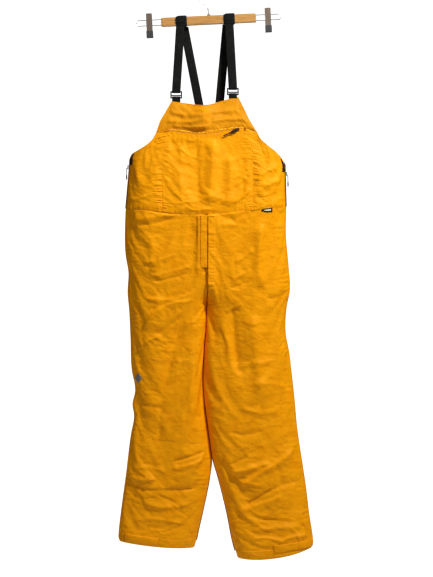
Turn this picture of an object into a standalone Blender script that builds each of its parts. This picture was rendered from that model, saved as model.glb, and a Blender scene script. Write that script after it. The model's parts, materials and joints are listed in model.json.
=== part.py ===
"""Waterproof bib overalls hanging by their shoulder straps from a wooden clip hanger.

Metres, +Z up. The front of the garment faces -Y, so +X is the wearer's left. The origin is the
point inside the hook that rests on the rail. The bar hangs a little out of level, and the
garment hangs plumb below it.
"""

import math

import bmesh
import bpy
from mathutils import Matrix, Vector

MM = 0.001
GAP = 0.3 * MM  # clearance between two pieces that touch

# ---- Driving dimensions ----------------------------------------------------------------
HANGER_TILT = math.radians(2.76)  # the bar's +X end is the higher one
BAR_DROP = 95 * MM  # from the rail to the bar's centreline
BAR_LENGTH = 276 * MM
BAR_HEIGHT = 26 * MM
BAR_DEPTH = 14 * MM
HOOK_WIRE = 3.6 * MM
HOOK_BEND = 25 * MM  # radius of the hook's wire, centre to centre
LOOP_WIRE = 2.6 * MM
LOOP_SPACING = 16 * MM  # between the two wires of an end loop
LOOP_REACH = 210 * MM  # from the bar's middle to the end of a loop
LOOP_SOCKET = 24 * MM  # how deep the wires sit in the bar
CLIP_AT = 172 * MM  # from the bar's middle to a clip
CLIP_WIDTH = 17 * MM
CLIP_SHEET = 1.2 * MM
CLIP_TOP = 26 * MM  # above the bar's centreline
CLIP_LOW = 42 * MM  # below it
PIVOT_Y = -6.5 * MM  # the clip's hinge pin
PIN_RADIUS = 1.2 * MM
STEM_LOW = -BAR_DROP - BAR_HEIGHT / 2 + 1.5 * MM  # bottom of the hook's stem

FABRIC = 3 * MM  # shell thickness that stands for the padded-out cloth
PATCH = 1.5 * MM
WEBBING = 1.6 * MM
STRAP_WIDTH = 25 * MM
HITCH_WIDTH = 32 * MM
BUCKLE_WIDTH = 34 * MM
BUCKLE_DEPTH = 3 * MM
BUCKLE_Y = -9.0 * MM
# Buckle heights, measured down from its top edge.
BUCKLE_TOP_BAR = 3.4 * MM
BUCKLE_WINDOW = 7.6 * MM
BUCKLE_CROSSBAR = 3.0 * MM
BUCKLE_SLOT = 3.6 * MM
BUCKLE_LOW_BAR = 3.4 * MM
BUCKLE_HEIGHT = BUCKLE_TOP_BAR + BUCKLE_WINDOW + BUCKLE_CROSSBAR + BUCKLE_SLOT + BUCKLE_LOW_BAR
BUCKLE_WALL = 3.6 * MM
STRAP_TURN = 3.4 * MM  # radius of the webbing's middle where it turns round a buckle's bar

ZIP_TAPE = 5.6 * MM
ZIP_THICK = 2.2 * MM
SLIDER_THICK = 2.4 * MM
PULL_THICK = 3.2 * MM
CHEST_SLIDER_X = 0.088
FLY_SLIDER_Z = -0.690
FLY_HINGE_X = -19.7 * MM

SIDE_HALF_WIDTH = 0.232  # torso, centre front to side seam
FLAT_SHARE = 0.42  # middle share of the torso that is flat from side to side
CROTCH_Z = -0.892
FLY_END_Z = -0.80
WAIST_Z = -0.6615
FLY_HALF_GAP = 5.5 * MM

# Half depth of the torso, front skin to centre plane, at heights from the top down.
TORSO_DEPTH = [(-0.320, 0.010), (-0.500, 0.030), (-0.640, 0.042), (-0.900, 0.042)]

# One leg's rows from waist to hem: outer seam x, z, then inner seam x, z, then half depth.
RIGHT_LEG = [
    (-0.2350, -0.646, -0.0055, -0.6615, 0.042),
    (-0.2360, -0.730, -0.0055, -0.7300, 0.042),
    (-0.2340, -0.800, -0.0055, -0.8000, 0.042),
    (-0.2290, -0.892, -0.0015, -0.8920, 0.042),
    (-0.2250, -0.990, -0.0045, -0.9900, 0.041),
    (-0.2200, -1.068, -0.0130, -1.0700, 0.040),
    (-0.2100, -1.160, -0.0150, -1.1600, 0.038),
    (-0.2110, -1.240, -0.0080, -1.2500, 0.037),
    (-0.2210, -1.310, 0.0065, -1.3200, 0.036),
    (-0.2320, -1.380, 0.0110, -1.3900, 0.035),
    (-0.2450, -1.490, -0.0100, -1.5100, 0.033),
    (-0.2545, -1.575, -0.0285, -1.5950, 0.032),
    (-0.2575, -1.605, -0.0345, -1.6260, 0.031),
]
LEFT_LEG = [
    (0.2290, -0.640, 0.0055, -0.6615, 0.042),
    (0.2280, -0.730, 0.0055, -0.7300, 0.042),
    (0.2350, -0.800, 0.0055, -0.8000, 0.042),
    (0.2390, -0.892, 0.0015, -0.8920, 0.042),
    (0.2280, -0.990, -0.0015, -0.9900, 0.041),
    (0.2390, -1.068, -0.0100, -1.0700, 0.040),
    (0.2490, -1.160, -0.0120, -1.1600, 0.038),
    (0.2580, -1.250, -0.0045, -1.2500, 0.037),
    (0.2660, -1.325, 0.0105, -1.3250, 0.036),
    (0.2750, -1.390, 0.0270, -1.4000, 0.035),
    (0.2930, -1.500, 0.0520, -1.5200, 0.033),
    (0.3060, -1.595, 0.0770, -1.6250, 0.032),
    (0.3090, -1.621, 0.0870, -1.6520, 0.031),
]
LEG_COLUMNS = 8
KNEE_ROWS = (5, 8)  # rows of the leg that its knee patch covers
KNEE_COLUMNS = (2, 7)
SEAT_ROWS = (1, 3)
SEAT_COLUMNS = 5  # columns of each leg, counted from the centre seam

# Torso seams as (x, z) points.
TOP_EDGE = [(-0.1018, -0.3328), (-0.045, -0.3400), (0.0, -0.3425), (0.045, -0.3300), (0.0890, -0.3195)]
YOKE_RIGHT_SIDE = [(-0.1018, -0.3328), (-0.1334, -0.3873), (-0.1462, -0.4239)]
YOKE_LEFT_SIDE = [(0.0890, -0.3195), (0.1204, -0.3838), (0.1440, -0.4225)]
POCKET_RIGHT_END = (-0.1130, -0.4150)
POCKET_LEFT_END = (0.1100, -0.4100)
RIGHT_ARMHOLE = [(-0.1462, -0.4239), (-0.1685, -0.4549), (-0.2088, -0.4816), (-0.2230, -0.4993)]
LEFT_ARMHOLE = [(0.1440, -0.4225), (0.1647, -0.4549), (0.1958, -0.4772), (0.2257, -0.5150)]
RIGHT_SIDE = [(-0.2230, -0.4993), (-0.2296, -0.5800), (-0.2350, -0.6450)]
LEFT_SIDE = [(0.2257, -0.5150), (0.2274, -0.5800), (0.2290, -0.6390)]
RIGHT_PRINCESS = [(-0.1130, -0.4150), (-0.1280, -0.5000), (-0.1280, -0.6530)]
LEFT_PRINCESS = [(0.1100, -0.4100), (0.1330, -0.5000), (0.1330, -0.6490)]
BACK_TOP = [(-0.0560, -0.3750), (0.0100, -0.3780), (0.0760, -0.3750)]
BACK_RIGHT_ARMHOLE = [(-0.0560, -0.3750), (-0.1000, -0.4300), (-0.1650, -0.4750), (-0.2230, -0.4993)]
BACK_LEFT_ARMHOLE = [(0.0760, -0.3750), (0.1150, -0.4300), (0.1700, -0.4800), (0.2257, -0.5150)]

# Straps: x and z of the middle of each run, top end then bottom end.
FRONT_RUNS = {"right": ((-0.0775, -0.1165), (-0.0890, -0.3020)), "left": ((0.0645, -0.1098), (0.0748, -0.2925))}
BACK_RUNS = {"right": ((-0.0660, -0.1165), (-0.0100, -0.4050)), "left": ((0.0570, -0.1098), (0.0300, -0.4050))}
HITCH_X = {"right": -0.0790, "left": 0.0600}  # along the bar, from its middle
SIGN = {"right": -1, "left": 1}
LEGS = {"right": RIGHT_LEG, "left": LEFT_LEG}

COLOURS = {
    "shell_fabric": ((0.86, 0.42, 0.015), 0.55, 0.0),
    "webbing": ((0.016, 0.016, 0.017), 0.75, 0.0),
    "black_plastic": ((0.012, 0.012, 0.013), 0.4, 0.0),
    "dark_zip": ((0.030, 0.012, 0.008), 0.55, 0.0),
    "yellow_zip": ((0.80, 0.38, 0.015), 0.5, 0.0),
    "label": ((0.02, 0.01, 0.012), 0.7, 0.0),
    "reflective": ((0.35, 0.34, 0.33), 0.35, 0.1),
    "hanger_wood": ((0.56, 0.27, 0.07), 0.45, 0.0),
    "chrome": ((0.55, 0.53, 0.50), 0.18, 1.0),
    "vinyl": ((0.05, 0.05, 0.052), 0.5, 0.0),
}


# ---- Helpers ---------------------------------------------------------------------------
def clear_scene():
    for obj in list(bpy.data.objects):
        bpy.data.objects.remove(obj)


def material(name):
    found = bpy.data.materials.get(name)
    if found:
        return found
    colour, roughness, metallic = COLOURS[name]
    made = bpy.data.materials.new(name)
    made.use_nodes = True
    shader = made.node_tree.nodes["Principled BSDF"]
    shader.inputs["Base Color"].default_value = (*colour, 1)
    shader.inputs["Roughness"].default_value = roughness
    shader.inputs["Metallic"].default_value = metallic
    return made


def link(name, data, slot, parent=None):
    obj = bpy.data.objects.new(name, data)
    data.materials.append(material(slot))
    bpy.context.scene.collection.objects.link(obj)
    obj.parent = parent
    return obj


def from_bmesh(name, bm, slot, parent=None, smooth=True):
    bmesh.ops.recalc_face_normals(bm, faces=bm.faces)
    mesh = bpy.data.meshes.new(name)
    bm.to_mesh(mesh)
    bm.free()
    if smooth:
        mesh.shade_smooth()
        mesh.set_sharp_from_angle(angle=math.radians(40))
    return link(name, mesh, slot, parent)


def box(bm, low, high):
    """Adds a box between two corners."""
    size = Vector(high) - Vector(low)
    place = Matrix.Translation((Vector(high) + Vector(low)) / 2) @ Matrix.Diagonal((*size, 1))
    return bmesh.ops.create_cube(bm, size=1, matrix=place)["verts"]


def cylinder(bm, centre, axis, radius, length, sides=12):
    """Adds a cylinder centred on a point, along an axis."""
    turn = Vector(axis).to_track_quat("Z", "Y").to_matrix().to_4x4()
    bmesh.ops.create_cone(
        bm, segments=sides, radius1=radius, radius2=radius, depth=length, cap_ends=True,
        matrix=Matrix.Translation(centre) @ turn,
    )


def cutter(name, bm, parent=None):
    obj = from_bmesh(name, bm, "chrome", parent, smooth=False)
    obj.hide_render = True
    obj.display_type = "WIRE"
    return obj


def cut(obj, tool, operation="DIFFERENCE"):
    modifier = obj.modifiers.new(operation.lower() + "_" + tool.name, "BOOLEAN")
    modifier.operation = operation
    modifier.object = tool
    modifier.solver = "EXACT"


def bevel(obj, width, segments=2, angle=40):
    modifier = obj.modifiers.new("bevel", "BEVEL")
    modifier.width = width
    modifier.segments = segments
    modifier.limit_method = "ANGLE"
    modifier.angle_limit = math.radians(angle)


def along(points, share):
    """The point at a share of a polyline's length."""
    lengths = [(Vector(b) - Vector(a)).length for a, b in zip(points, points[1:])]
    left = share * sum(lengths)
    for a, b, length in zip(points, points[1:], lengths):
        if left <= length or b is points[-1]:
            return Vector(a).lerp(Vector(b), min(1, left / length))
        left -= length


def ramp(points, at):
    """Linear interpolation in a falling list of (position, value)."""
    if at >= points[0][0]:
        return points[0][1]
    for (p0, v0), (p1, v1) in zip(points, points[1:]):
        if at >= p1:
            return v0 + (v1 - v0) * (at - p0) / (p1 - p0)
    return points[-1][1]


def smooth_step(low, high, at):
    share = min(1, max(0, (at - low) / (high - low)))
    return share * share * (3 - 2 * share)


# ---- The garment's shape ---------------------------------------------------------------
def torso_depth(x, z):
    """Half depth of the torso at a point: flat in the middle, falling to nothing at the side seams."""
    share = min(1, abs(x) / SIDE_HALF_WIDTH)
    fall = max(0, (share - FLAT_SHARE) / (1 - FLAT_SHARE)) ** 2.4
    return ramp(TORSO_DEPTH, z) * (1 - fall)


def leg_depth(x, z, across, half_depth):
    """Half depth of a leg: the torso's shape above the crotch, turning into a tube of its own below."""
    tube = half_depth * (1 - abs(across) ** 2.6)
    share = smooth_step(FLY_END_Z, CROTCH_Z, z)
    return torso_depth(x, z) * (1 - share) + tube * share


def across_share(column, columns):
    """-1 to 1, with the columns closer together near the seams."""
    return -math.cos(math.pi * (0.12 + 0.76 * column / columns)) / math.cos(math.pi * 0.12)


def leg_lattice(side, facing):
    """Rows of (x, z, half depth) for one leg's front or back, from the outer seam to the inner one."""
    rows = []
    for outer_x, outer_z, inner_x, inner_z, half_depth in LEGS[side]:
        if facing > 0 and inner_z > CROTCH_Z:
            inner_x = SIGN[side] * GAP
        row = []
        for column in range(LEG_COLUMNS + 1):
            across = across_share(column, LEG_COLUMNS)
            share = (across + 1) / 2
            x = outer_x + (inner_x - outer_x) * share
            z = outer_z + (inner_z - outer_z) * share
            row.append((x, z, leg_depth(x, z, across, half_depth)))
        rows.append(row)
    return rows


def patch_lattice(top, bottom, first_side, last_side, columns, rows):
    """A four-sided grid between boundary curves, with the torso's depth at each point."""
    corners = [Vector(top[0]), Vector(top[-1]), Vector(bottom[0]), Vector(bottom[-1])]
    grid = []
    for r in range(rows + 1):
        v = r / rows
        row = []
        for c in range(columns + 1):
            u = c / columns
            ruled = along(top, u) * (1 - v) + along(bottom, u) * v
            ruled += along(first_side, v) * (1 - u) + along(last_side, v) * u
            ruled -= (corners[0] * (1 - u) + corners[1] * u) * (1 - v)
            ruled -= (corners[2] * (1 - u) + corners[3] * u) * v
            row.append((ruled.x, ruled.y, torso_depth(ruled.x, ruled.y)))
        grid.append(row)
    return grid


def shell(name, lattice, facing, slot, offset=0.0, thickness=FABRIC, parent=None):
    """A closed sheet over a lattice. facing is -1 at the front and 1 at the back."""
    bm = bmesh.new()
    skins = []
    for lift in (GAP / 2 + offset, GAP / 2 + offset + thickness):
        skins.append([[bm.verts.new((x, facing * (depth + lift), z)) for x, z, depth in row] for row in lattice])
    rows, columns = len(lattice), len(lattice[0])
    for skin in skins:
        for r in range(rows - 1):
            for c in range(columns - 1):
                a, b, d, e = skin[r][c], skin[r][c + 1], skin[r + 1][c + 1], skin[r + 1][c]
                bm.faces.new((a, b, d))
                bm.faces.new((a, d, e))
    rim = [(0, c) for c in range(columns)]
    rim += [(r, columns - 1) for r in range(1, rows)]
    rim += [(rows - 1, c) for c in range(columns - 2, -1, -1)]
    rim += [(r, 0) for r in range(rows - 2, 0, -1)]
    for (r0, c0), (r1, c1) in zip(rim, rim[1:] + rim[:1]):
        bm.faces.new((skins[0][r0][c0], skins[0][r1][c1], skins[1][r1][c1], skins[1][r0][c0]))
    return from_bmesh(name, bm, slot, parent)


def hem_band(side):
    """The turned-up end of a leg: one ring, open from top to bottom."""
    bm = bmesh.new()
    wall_share = 0.955
    loops = []
    for index in (-2, -1):
        outer_x, outer_z, inner_x, inner_z, half_depth = LEGS[side][index]
        drop = GAP if index == -2 else 0
        for skin_share, lift in ((1, FABRIC), (wall_share, 0)):
            loop = []
            for facing in (-1, 1):
                columns = range(LEG_COLUMNS + 1) if facing < 0 else range(LEG_COLUMNS, -1, -1)
                for column in columns:
                    across = across_share(column, LEG_COLUMNS)
                    share = (across * skin_share + 1) / 2
                    depth = half_depth * (1 - abs(across) ** 2.6) + GAP + lift
                    x = outer_x + (inner_x - outer_x) * share
                    z = outer_z + (inner_z - outer_z) * share - drop
                    loop.append(bm.verts.new((x, facing * depth, z)))
            loops.append(loop)
    top_out, top_in, low_out, low_in = loops
    for first, second in ((top_out, top_in), (low_out, low_in), (top_out, low_out), (top_in, low_in)):
        count = len(first)
        for i in range(count):
            j = (i + 1) % count
            bm.faces.new((first[i], first[j], second[j], second[i]))
    return from_bmesh(f"hem_band_{side}", bm, "shell_fabric")


# ---- Ribbons and small soft pieces -----------------------------------------------------
def ribbon(name, path, width, slot, thickness=WEBBING, parent=None, closed=False):
    """A strip of webbing. path holds (x, y, z) points of its middle, and it is thick in the YZ plane."""
    bm = bmesh.new()
    points = [Vector(p) for p in path]
    count = len(points)
    sections = []
    for i, point in enumerate(points):
        before = points[i - 1] if closed or i else point
        after = points[(i + 1) % count] if closed or i < count - 1 else point
        into, out = point - before, after - point
        into, out = (Vector((0, v.y, v.z)) for v in (into, out))
        if into.length < 1e-9:
            into = out
        if out.length < 1e-9:
            out = into
        mean = into.normalized() + out.normalized()
        mean.normalize()
        normal = Vector((0, -mean.z, mean.y))
        half = thickness / 2 / max(0.5, mean.dot(out.normalized()))
        sections.append(
            [
                bm.verts.new(point + normal * half * s + Vector((e * width / 2, 0, 0)))
                for s, e in ((-1, -1), (-1, 1), (1, 1), (1, -1))
            ]
        )
    pairs = list(zip(sections, sections[1:] + sections[:1]))
    for first, second in pairs if closed else pairs[:-1]:
        for i in range(4):
            j = (i + 1) % 4
            bm.faces.new((first[i], first[j], second[j], second[i]))
    if not closed:
        bm.faces.new(sections[0])
        bm.faces.new(sections[-1])
    return from_bmesh(name, bm, slot, parent)


def arc_points(centre, radius, start, end, steps):
    """(y, z) points on an arc, with angles in degrees from +Y towards +Z."""
    made = []
    for i in range(steps + 1):
        angle = math.radians(start + (end - start) * i / steps)
        made.append((centre[0] + radius * math.cos(angle), centre[1] + radius * math.sin(angle)))
    return made


def run_x(run, z):
    """x of a strap's middle at a height, on the line between its two ends."""
    (top_x, top_z), (low_x, low_z) = run
    return top_x + (low_x - top_x) * (z - top_z) / (low_z - top_z)


def buckle_top(side):
    return FRONT_RUNS[side][1][1]


def buckle_x(side):
    return FRONT_RUNS[side][1][0]


def buckle(side):
    """Two windows between three bars: the strap turns round the top bar and the bib's tab round the low one."""
    top, x = buckle_top(side), buckle_x(side)
    bm = bmesh.new()
    box(
        bm,
        (x - BUCKLE_WIDTH / 2, BUCKLE_Y - BUCKLE_DEPTH / 2, top - BUCKLE_HEIGHT),
        (x + BUCKLE_WIDTH / 2, BUCKLE_Y + BUCKLE_DEPTH / 2, top),
    )
    body = from_bmesh(f"buckle_{side}", bm, "black_plastic")
    tools = bmesh.new()
    window_top = top - BUCKLE_TOP_BAR
    slot_top = window_top - BUCKLE_WINDOW - BUCKLE_CROSSBAR
    for high, low in ((window_top, window_top - BUCKLE_WINDOW), (slot_top, slot_top - BUCKLE_SLOT)):
        box(
            tools,
            (x - BUCKLE_WIDTH / 2 + BUCKLE_WALL, BUCKLE_Y - BUCKLE_DEPTH, low),
            (x + BUCKLE_WIDTH / 2 - BUCKLE_WALL, BUCKLE_Y + BUCKLE_DEPTH, high),
        )
    cut(body, cutter(f"buckle_windows_{side}", tools))


def front_strap(side):
    """Runs down in front of the buckle's top bar, round under it, and back up behind as a tail."""
    run = FRONT_RUNS[side]
    top = buckle_top(side)
    bar_mid = top - BUCKLE_TOP_BAR / 2
    path = [(-BAR_DEPTH / 2 - WEBBING, run[0][1]), (-9.2 * MM, (run[0][1] + top) / 2)]
    path += [(BUCKLE_Y - STRAP_TURN, top + 8 * MM)]
    path += arc_points((BUCKLE_Y, bar_mid), STRAP_TURN, 180, 360, 8)
    path += [(BUCKLE_Y + STRAP_TURN, top + 12 * MM), (BUCKLE_Y + STRAP_TURN + 1 * MM, top + 62 * MM)]
    ribbon(f"front_strap_{side}", [(run_x(run, z), y, z) for y, z in path], STRAP_WIDTH, "webbing")


def strap_tab(side):
    """Webbing loop sewn inside the bib's top corner, round the buckle's low bar."""
    x = buckle_x(side)
    bar_mid = buckle_top(side) - BUCKLE_HEIGHT + BUCKLE_LOW_BAR / 2
    edge = ramp([(-a, b) for a, b in TOP_EDGE], -x)
    path = [(BUCKLE_Y - STRAP_TURN, edge + 4.5 * MM)]
    path += arc_points((BUCKLE_Y, bar_mid), STRAP_TURN, 180, 0, 6)
    path += [(BUCKLE_Y + STRAP_TURN, edge), (BUCKLE_Y + STRAP_TURN + 1 * MM, edge - 26 * MM)]
    ribbon(f"strap_tab_{side}", [(x, y, z) for y, z in path], STRAP_WIDTH - 1 * MM, "webbing")


def back_strap(side):
    """Runs down the back and is sewn under the yoke patch of the back panel."""
    run = BACK_RUNS[side]
    lift = FABRIC + GAP + WEBBING / 2 + GAP
    path = [(BAR_DEPTH / 2 + WEBBING, run[0][1]), (12.5 * MM, -0.24)]
    path += [(torso_depth(0, z) + lift, z) for z in (-0.372, -0.405)]
    ribbon(f"back_strap_{side}", [(run_x(run, z), y, z) for y, z in path], STRAP_WIDTH, "webbing")


# ---- Garment ---------------------------------------------------------------------------
def pocket_line(low=0.0):
    """The chest zip's line, from armhole to armhole, moved down by low."""
    points = [YOKE_RIGHT_SIDE[-1], POCKET_RIGHT_END, POCKET_LEFT_END, YOKE_LEFT_SIDE[-1]]
    return [(x, z - low) for x, z in points]


def torso():
    waist_right, waist_left = RIGHT_PRINCESS[-1], LEFT_PRINCESS[-1]
    upper = pocket_line()
    shell("bib_yoke", patch_lattice(TOP_EDGE, upper, YOKE_RIGHT_SIDE, YOKE_LEFT_SIDE, 8, 3), -1, "shell_fabric")
    zip_room = 7 * MM
    right_seam = [(x + GAP, z) for x, z in RIGHT_PRINCESS]
    left_seam = [(x - GAP, z) for x, z in LEFT_PRINCESS]
    right_seam[0] = (right_seam[0][0], right_seam[0][1] - zip_room)
    left_seam[0] = (left_seam[0][0], left_seam[0][1] - zip_room)
    chest_low = [right_seam[-1], (0, WAIST_Z + GAP), left_seam[-1]]
    chest = patch_lattice([right_seam[0], left_seam[0]], chest_low, right_seam, left_seam, 6, 5)
    shell("chest_panel", chest, -1, "shell_fabric")
    low = 2 * GAP
    right_top = [(x, z - low) for x, z in RIGHT_ARMHOLE]
    right_inner = [(x - GAP, z - low) for x, z in RIGHT_PRINCESS[:-1]] + [(waist_right[0] - GAP, waist_right[1])]
    right = patch_lattice(
        [right_inner[0], *right_top], [right_inner[-1], RIGHT_SIDE[-1]],
        right_inner, [right_top[-1], *RIGHT_SIDE[1:]], 5, 5,
    )
    shell("side_panel_right", right, -1, "shell_fabric")
    left_top = [(x, z - low) for x, z in LEFT_ARMHOLE]
    left_inner = [(x + GAP, z - low) for x, z in LEFT_PRINCESS[:-1]] + [(waist_left[0] + GAP, waist_left[1])]
    left = patch_lattice(
        [left_inner[0], *left_top], [left_inner[-1], LEFT_SIDE[-1]],
        left_inner, [left_top[-1], *LEFT_SIDE[1:]], 5, 5,
    )
    shell("side_panel_left", left, -1, "shell_fabric")
    waist = [RIGHT_SIDE[-1], waist_right, (0, WAIST_Z + GAP), waist_left, LEFT_SIDE[-1]]
    back = patch_lattice(
        BACK_TOP, waist, [*BACK_RIGHT_ARMHOLE, *RIGHT_SIDE[1:]], [*BACK_LEFT_ARMHOLE, *LEFT_SIDE[1:]], 10, 8
    )
    shell("back_panel", back, 1, "shell_fabric")
    yoke = patch_lattice(
        [(-0.030, -0.384), (0.050, -0.384)], [(-0.046, -0.424), (0.066, -0.424)],
        [(-0.030, -0.384), (-0.046, -0.424)], [(0.050, -0.384), (0.066, -0.424)], 2, 1,
    )
    shell("back_yoke_patch", yoke, 1, "shell_fabric", offset=FABRIC + WEBBING + 3 * GAP, thickness=PATCH)


def legs():
    first, last = KNEE_ROWS
    start, stop = KNEE_COLUMNS
    for side in SIGN:
        for facing, word in ((-1, "front"), (1, "back")):
            lattice = leg_lattice(side, facing)[:-1]
            lattice[0] = [(x, z - 2 * GAP, depth) for x, z, depth in lattice[0]]
            shell(f"leg_{word}_{side}", lattice, facing, "shell_fabric")
        knee = [row[start : stop + 1] for row in leg_lattice(side, -1)[first : last + 1]]
        shell(f"knee_patch_{side}", knee, -1, "shell_fabric", offset=FABRIC + GAP, thickness=PATCH)
        hem_band(side)
    first, last = SEAT_ROWS
    right, left = leg_lattice("right", 1), leg_lattice("left", 1)
    seat = []
    for row in range(first, last + 1):
        from_right = right[row][-SEAT_COLUMNS:]
        from_left = list(reversed(left[row][-SEAT_COLUMNS:]))
        seat.append([*from_right, *from_left])
    shell("seat_patch", seat, 1, "shell_fabric", offset=FABRIC + GAP, thickness=PATCH)


# ---- Zips, flaps and tabs --------------------------------------------------------------


def chest_front(z):
    """y of the outer face of the chest at a height, in its flat middle."""
    return -(torso_depth(0, z) + FABRIC + GAP / 2)


def pocket_z(x):
    (x0, z0), (x1, z1) = POCKET_RIGHT_END, POCKET_LEFT_END
    return z0 + (z1 - z0) * (x - x0) / (x1 - x0)


def chest_zip():
    """Coil zip set in the slot under the yoke, with a slider that carries a rubber pull."""
    bm = bmesh.new()
    inset = 0.5 * MM
    front = chest_front(-0.415)
    corners = []
    for x in (POCKET_RIGHT_END[0] + 1 * MM, POCKET_LEFT_END[0] - 1 * MM):
        middle = pocket_z(x) - 3.5 * MM
        for high in (-ZIP_TAPE / 2, ZIP_TAPE / 2):
            for y in (front + inset, front + inset + ZIP_THICK):
                corners.append(bm.verts.new((x, y, middle + high)))
    bmesh.ops.convex_hull(bm, input=corners)
    from_bmesh("chest_zip", bm, "yellow_zip", smooth=False)
    x = CHEST_SLIDER_X
    z = pocket_z(x) - 3.5 * MM
    back = front - 0.5 * MM
    bm = bmesh.new()
    box(bm, (x - 5 * MM, back - SLIDER_THICK, z - 3.5 * MM), (x + 5 * MM, back, z + 3.5 * MM))
    slider = from_bmesh("chest_zip_slider", bm, "dark_zip")
    bevel(slider, 0.8 * MM)
    puller_y = back - SLIDER_THICK - PULL_THICK / 2 - 2 * GAP
    start = Vector((x, puller_y, z))
    end = Vector((0.047, puller_y, -0.4335))
    puller("chest_zip_pull", start, end, (end - start).cross(Vector((0, 1, 0))).normalized())


def puller(name, start, end, wide):
    """Slim rubber zip pull, fat at its free end. wide is the unit direction of its width."""
    axis = end - start
    thin = axis.cross(wide).normalized()
    bm = bmesh.new()
    rings = []
    for share, half in ((0, 2.0), (0.20, 1.6), (0.58, 1.6), (0.72, 3.2), (0.94, 3.2), (1.0, 2.2)):
        ring = []
        for across, deep in ((-1, -1), (1, -1), (1, 1), (-1, 1)):
            spot = start + axis * share + thin * across * PULL_THICK / 2 + wide * deep * half * MM
            ring.append(bm.verts.new(spot))
        rings.append(ring)
    for first, second in zip(rings, rings[1:]):
        for i in range(4):
            j = (i + 1) % 4
            bm.faces.new((first[i], first[j], second[j], second[i]))
    bm.faces.new(rings[0])
    bm.faces.new(rings[-1])
    obj = from_bmesh(name, bm, "dark_zip")
    bevel(obj, 0.5 * MM, 1)


def fly():
    """Zip in the gap between the leg fronts, under a flap that turns on the edge of its placket."""
    front = -(torso_depth(0, FLY_END_Z) + FABRIC + GAP / 2)
    top, low = WAIST_Z - 5 * MM, FLY_END_Z + 1 * MM
    bm = bmesh.new()
    half = FLY_HALF_GAP - 2 * GAP
    box(bm, (-half, front + 0.4 * MM, low), (half, front + 0.4 * MM + ZIP_THICK, top))
    from_bmesh("fly_zip", bm, "yellow_zip", smooth=False)
    bm = bmesh.new()
    box(
        bm,
        (-4 * MM, front - SLIDER_THICK, FLY_SLIDER_Z - 6 * MM),
        (4 * MM, front - 0.2 * MM, FLY_SLIDER_Z + 6 * MM),
    )
    slider = from_bmesh("fly_zip_slider", bm, "dark_zip")
    bevel(slider, 0.6 * MM)
    flap_y = front - SLIDER_THICK - 2 * GAP
    bottom = FLY_END_Z - 14 * MM
    bm = bmesh.new()
    box(bm, (FLY_HINGE_X, flap_y - PATCH, bottom), (3 * MM, flap_y, top))
    from_bmesh("fly_flap", bm, "shell_fabric", smooth=False)
    bm = bmesh.new()
    box(bm, (FLY_HINGE_X - 6 * MM, flap_y - PATCH, bottom), (FLY_HINGE_X - GAP, front - GAP, top))
    from_bmesh("fly_placket", bm, "shell_fabric", smooth=False)


def side_line(side):
    """The straight stretch of a side seam that its slider runs on: upper point, lower point, (x, z)."""
    if side == "right":
        return Vector((-0.2242, -0.5150)), Vector((-0.2350, -0.6450))
    return Vector((0.2262, -0.5350)), Vector((0.2290, -0.6390))


def side_zips():
    for side, sign in SIGN.items():
        upper, lower = side_line(side)
        armhole = (RIGHT_ARMHOLE if side == "right" else LEFT_ARMHOLE)[-2:]
        path = [armhole[0], armhole[1], tuple(upper), (lower.x, lower.y + 4 * MM)]
        bm = bmesh.new()
        rings = []
        for i, (x, z) in enumerate(path):
            before = Vector(path[max(0, i - 1)])
            after = Vector(path[min(len(path) - 1, i + 1)])
            down = (after - before).normalized()
            out = Vector((-down.y, down.x)) * sign
            centre = Vector((x, z)) + out * (1.2 * MM + 2 * GAP + (3.0 * MM if i < 2 else 0))
            ring = []
            for deep, wide in ((-1, -1), (1, -1), (1, 1), (-1, 1)):
                point = centre + out * wide * 1.1 * MM
                ring.append(bm.verts.new((point.x, deep * 3 * MM, point.y)))
            rings.append(ring)
        for first, second in zip(rings, rings[1:]):
            for i in range(4):
                j = (i + 1) % 4
                bm.faces.new((first[i], first[j], second[j], second[i]))
        bm.faces.new(rings[0])
        bm.faces.new(rings[-1])
        from_bmesh(f"side_zip_{side}", bm, "dark_zip", smooth=False)
        lean = math.atan2((upper - lower).x, (upper - lower).y)
        place = Matrix.Translation((upper.x + sign * 4.6 * MM, 0, upper.y)) @ Matrix.Rotation(lean, 4, "Y")
        bm = bmesh.new()
        verts = box(bm, (-1.2 * MM, -4 * MM, -12 * MM), (1.2 * MM, 4 * MM, 0))
        bmesh.ops.transform(bm, matrix=place, verts=verts)
        slider = from_bmesh(f"side_zip_slider_{side}", bm, "dark_zip")
        bevel(slider, 0.5 * MM, 1)
        start = place @ Vector((sign * (1.2 * MM + PULL_THICK / 2 + 2 * GAP), 0, -9 * MM))
        end = start + Vector((sign * 0.5 * MM, 0, -34 * MM))
        puller(f"side_zip_pull_{side}", start, end, Vector((0, 1, 0)))


def ankle_tabs():
    """Hook-and-loop tab that narrows the hem: sewn at the outer end, free towards the front."""
    for side in SIGN:
        rows = []
        leg_from, leg_to = LEGS[side][-2], LEGS[side][-1]
        for down in (0.12, 0.92):
            outer_x, outer_z, inner_x, inner_z, depth = (a + (b - a) * down for a, b in zip(leg_from, leg_to))
            row = []
            for column in range(1, 5):
                across = across_share(column, LEG_COLUMNS)
                share = (across + 1) / 2
                x = outer_x + (inner_x - outer_x) * share
                z = outer_z + (inner_z - outer_z) * share
                row.append((x, z, depth * (1 - abs(across) ** 2.6)))
            rows.append(row)
        lift = FABRIC + 3 * GAP
        shell(f"ankle_tab_{side}", rows, -1, "shell_fabric", offset=lift, thickness=PATCH)


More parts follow.
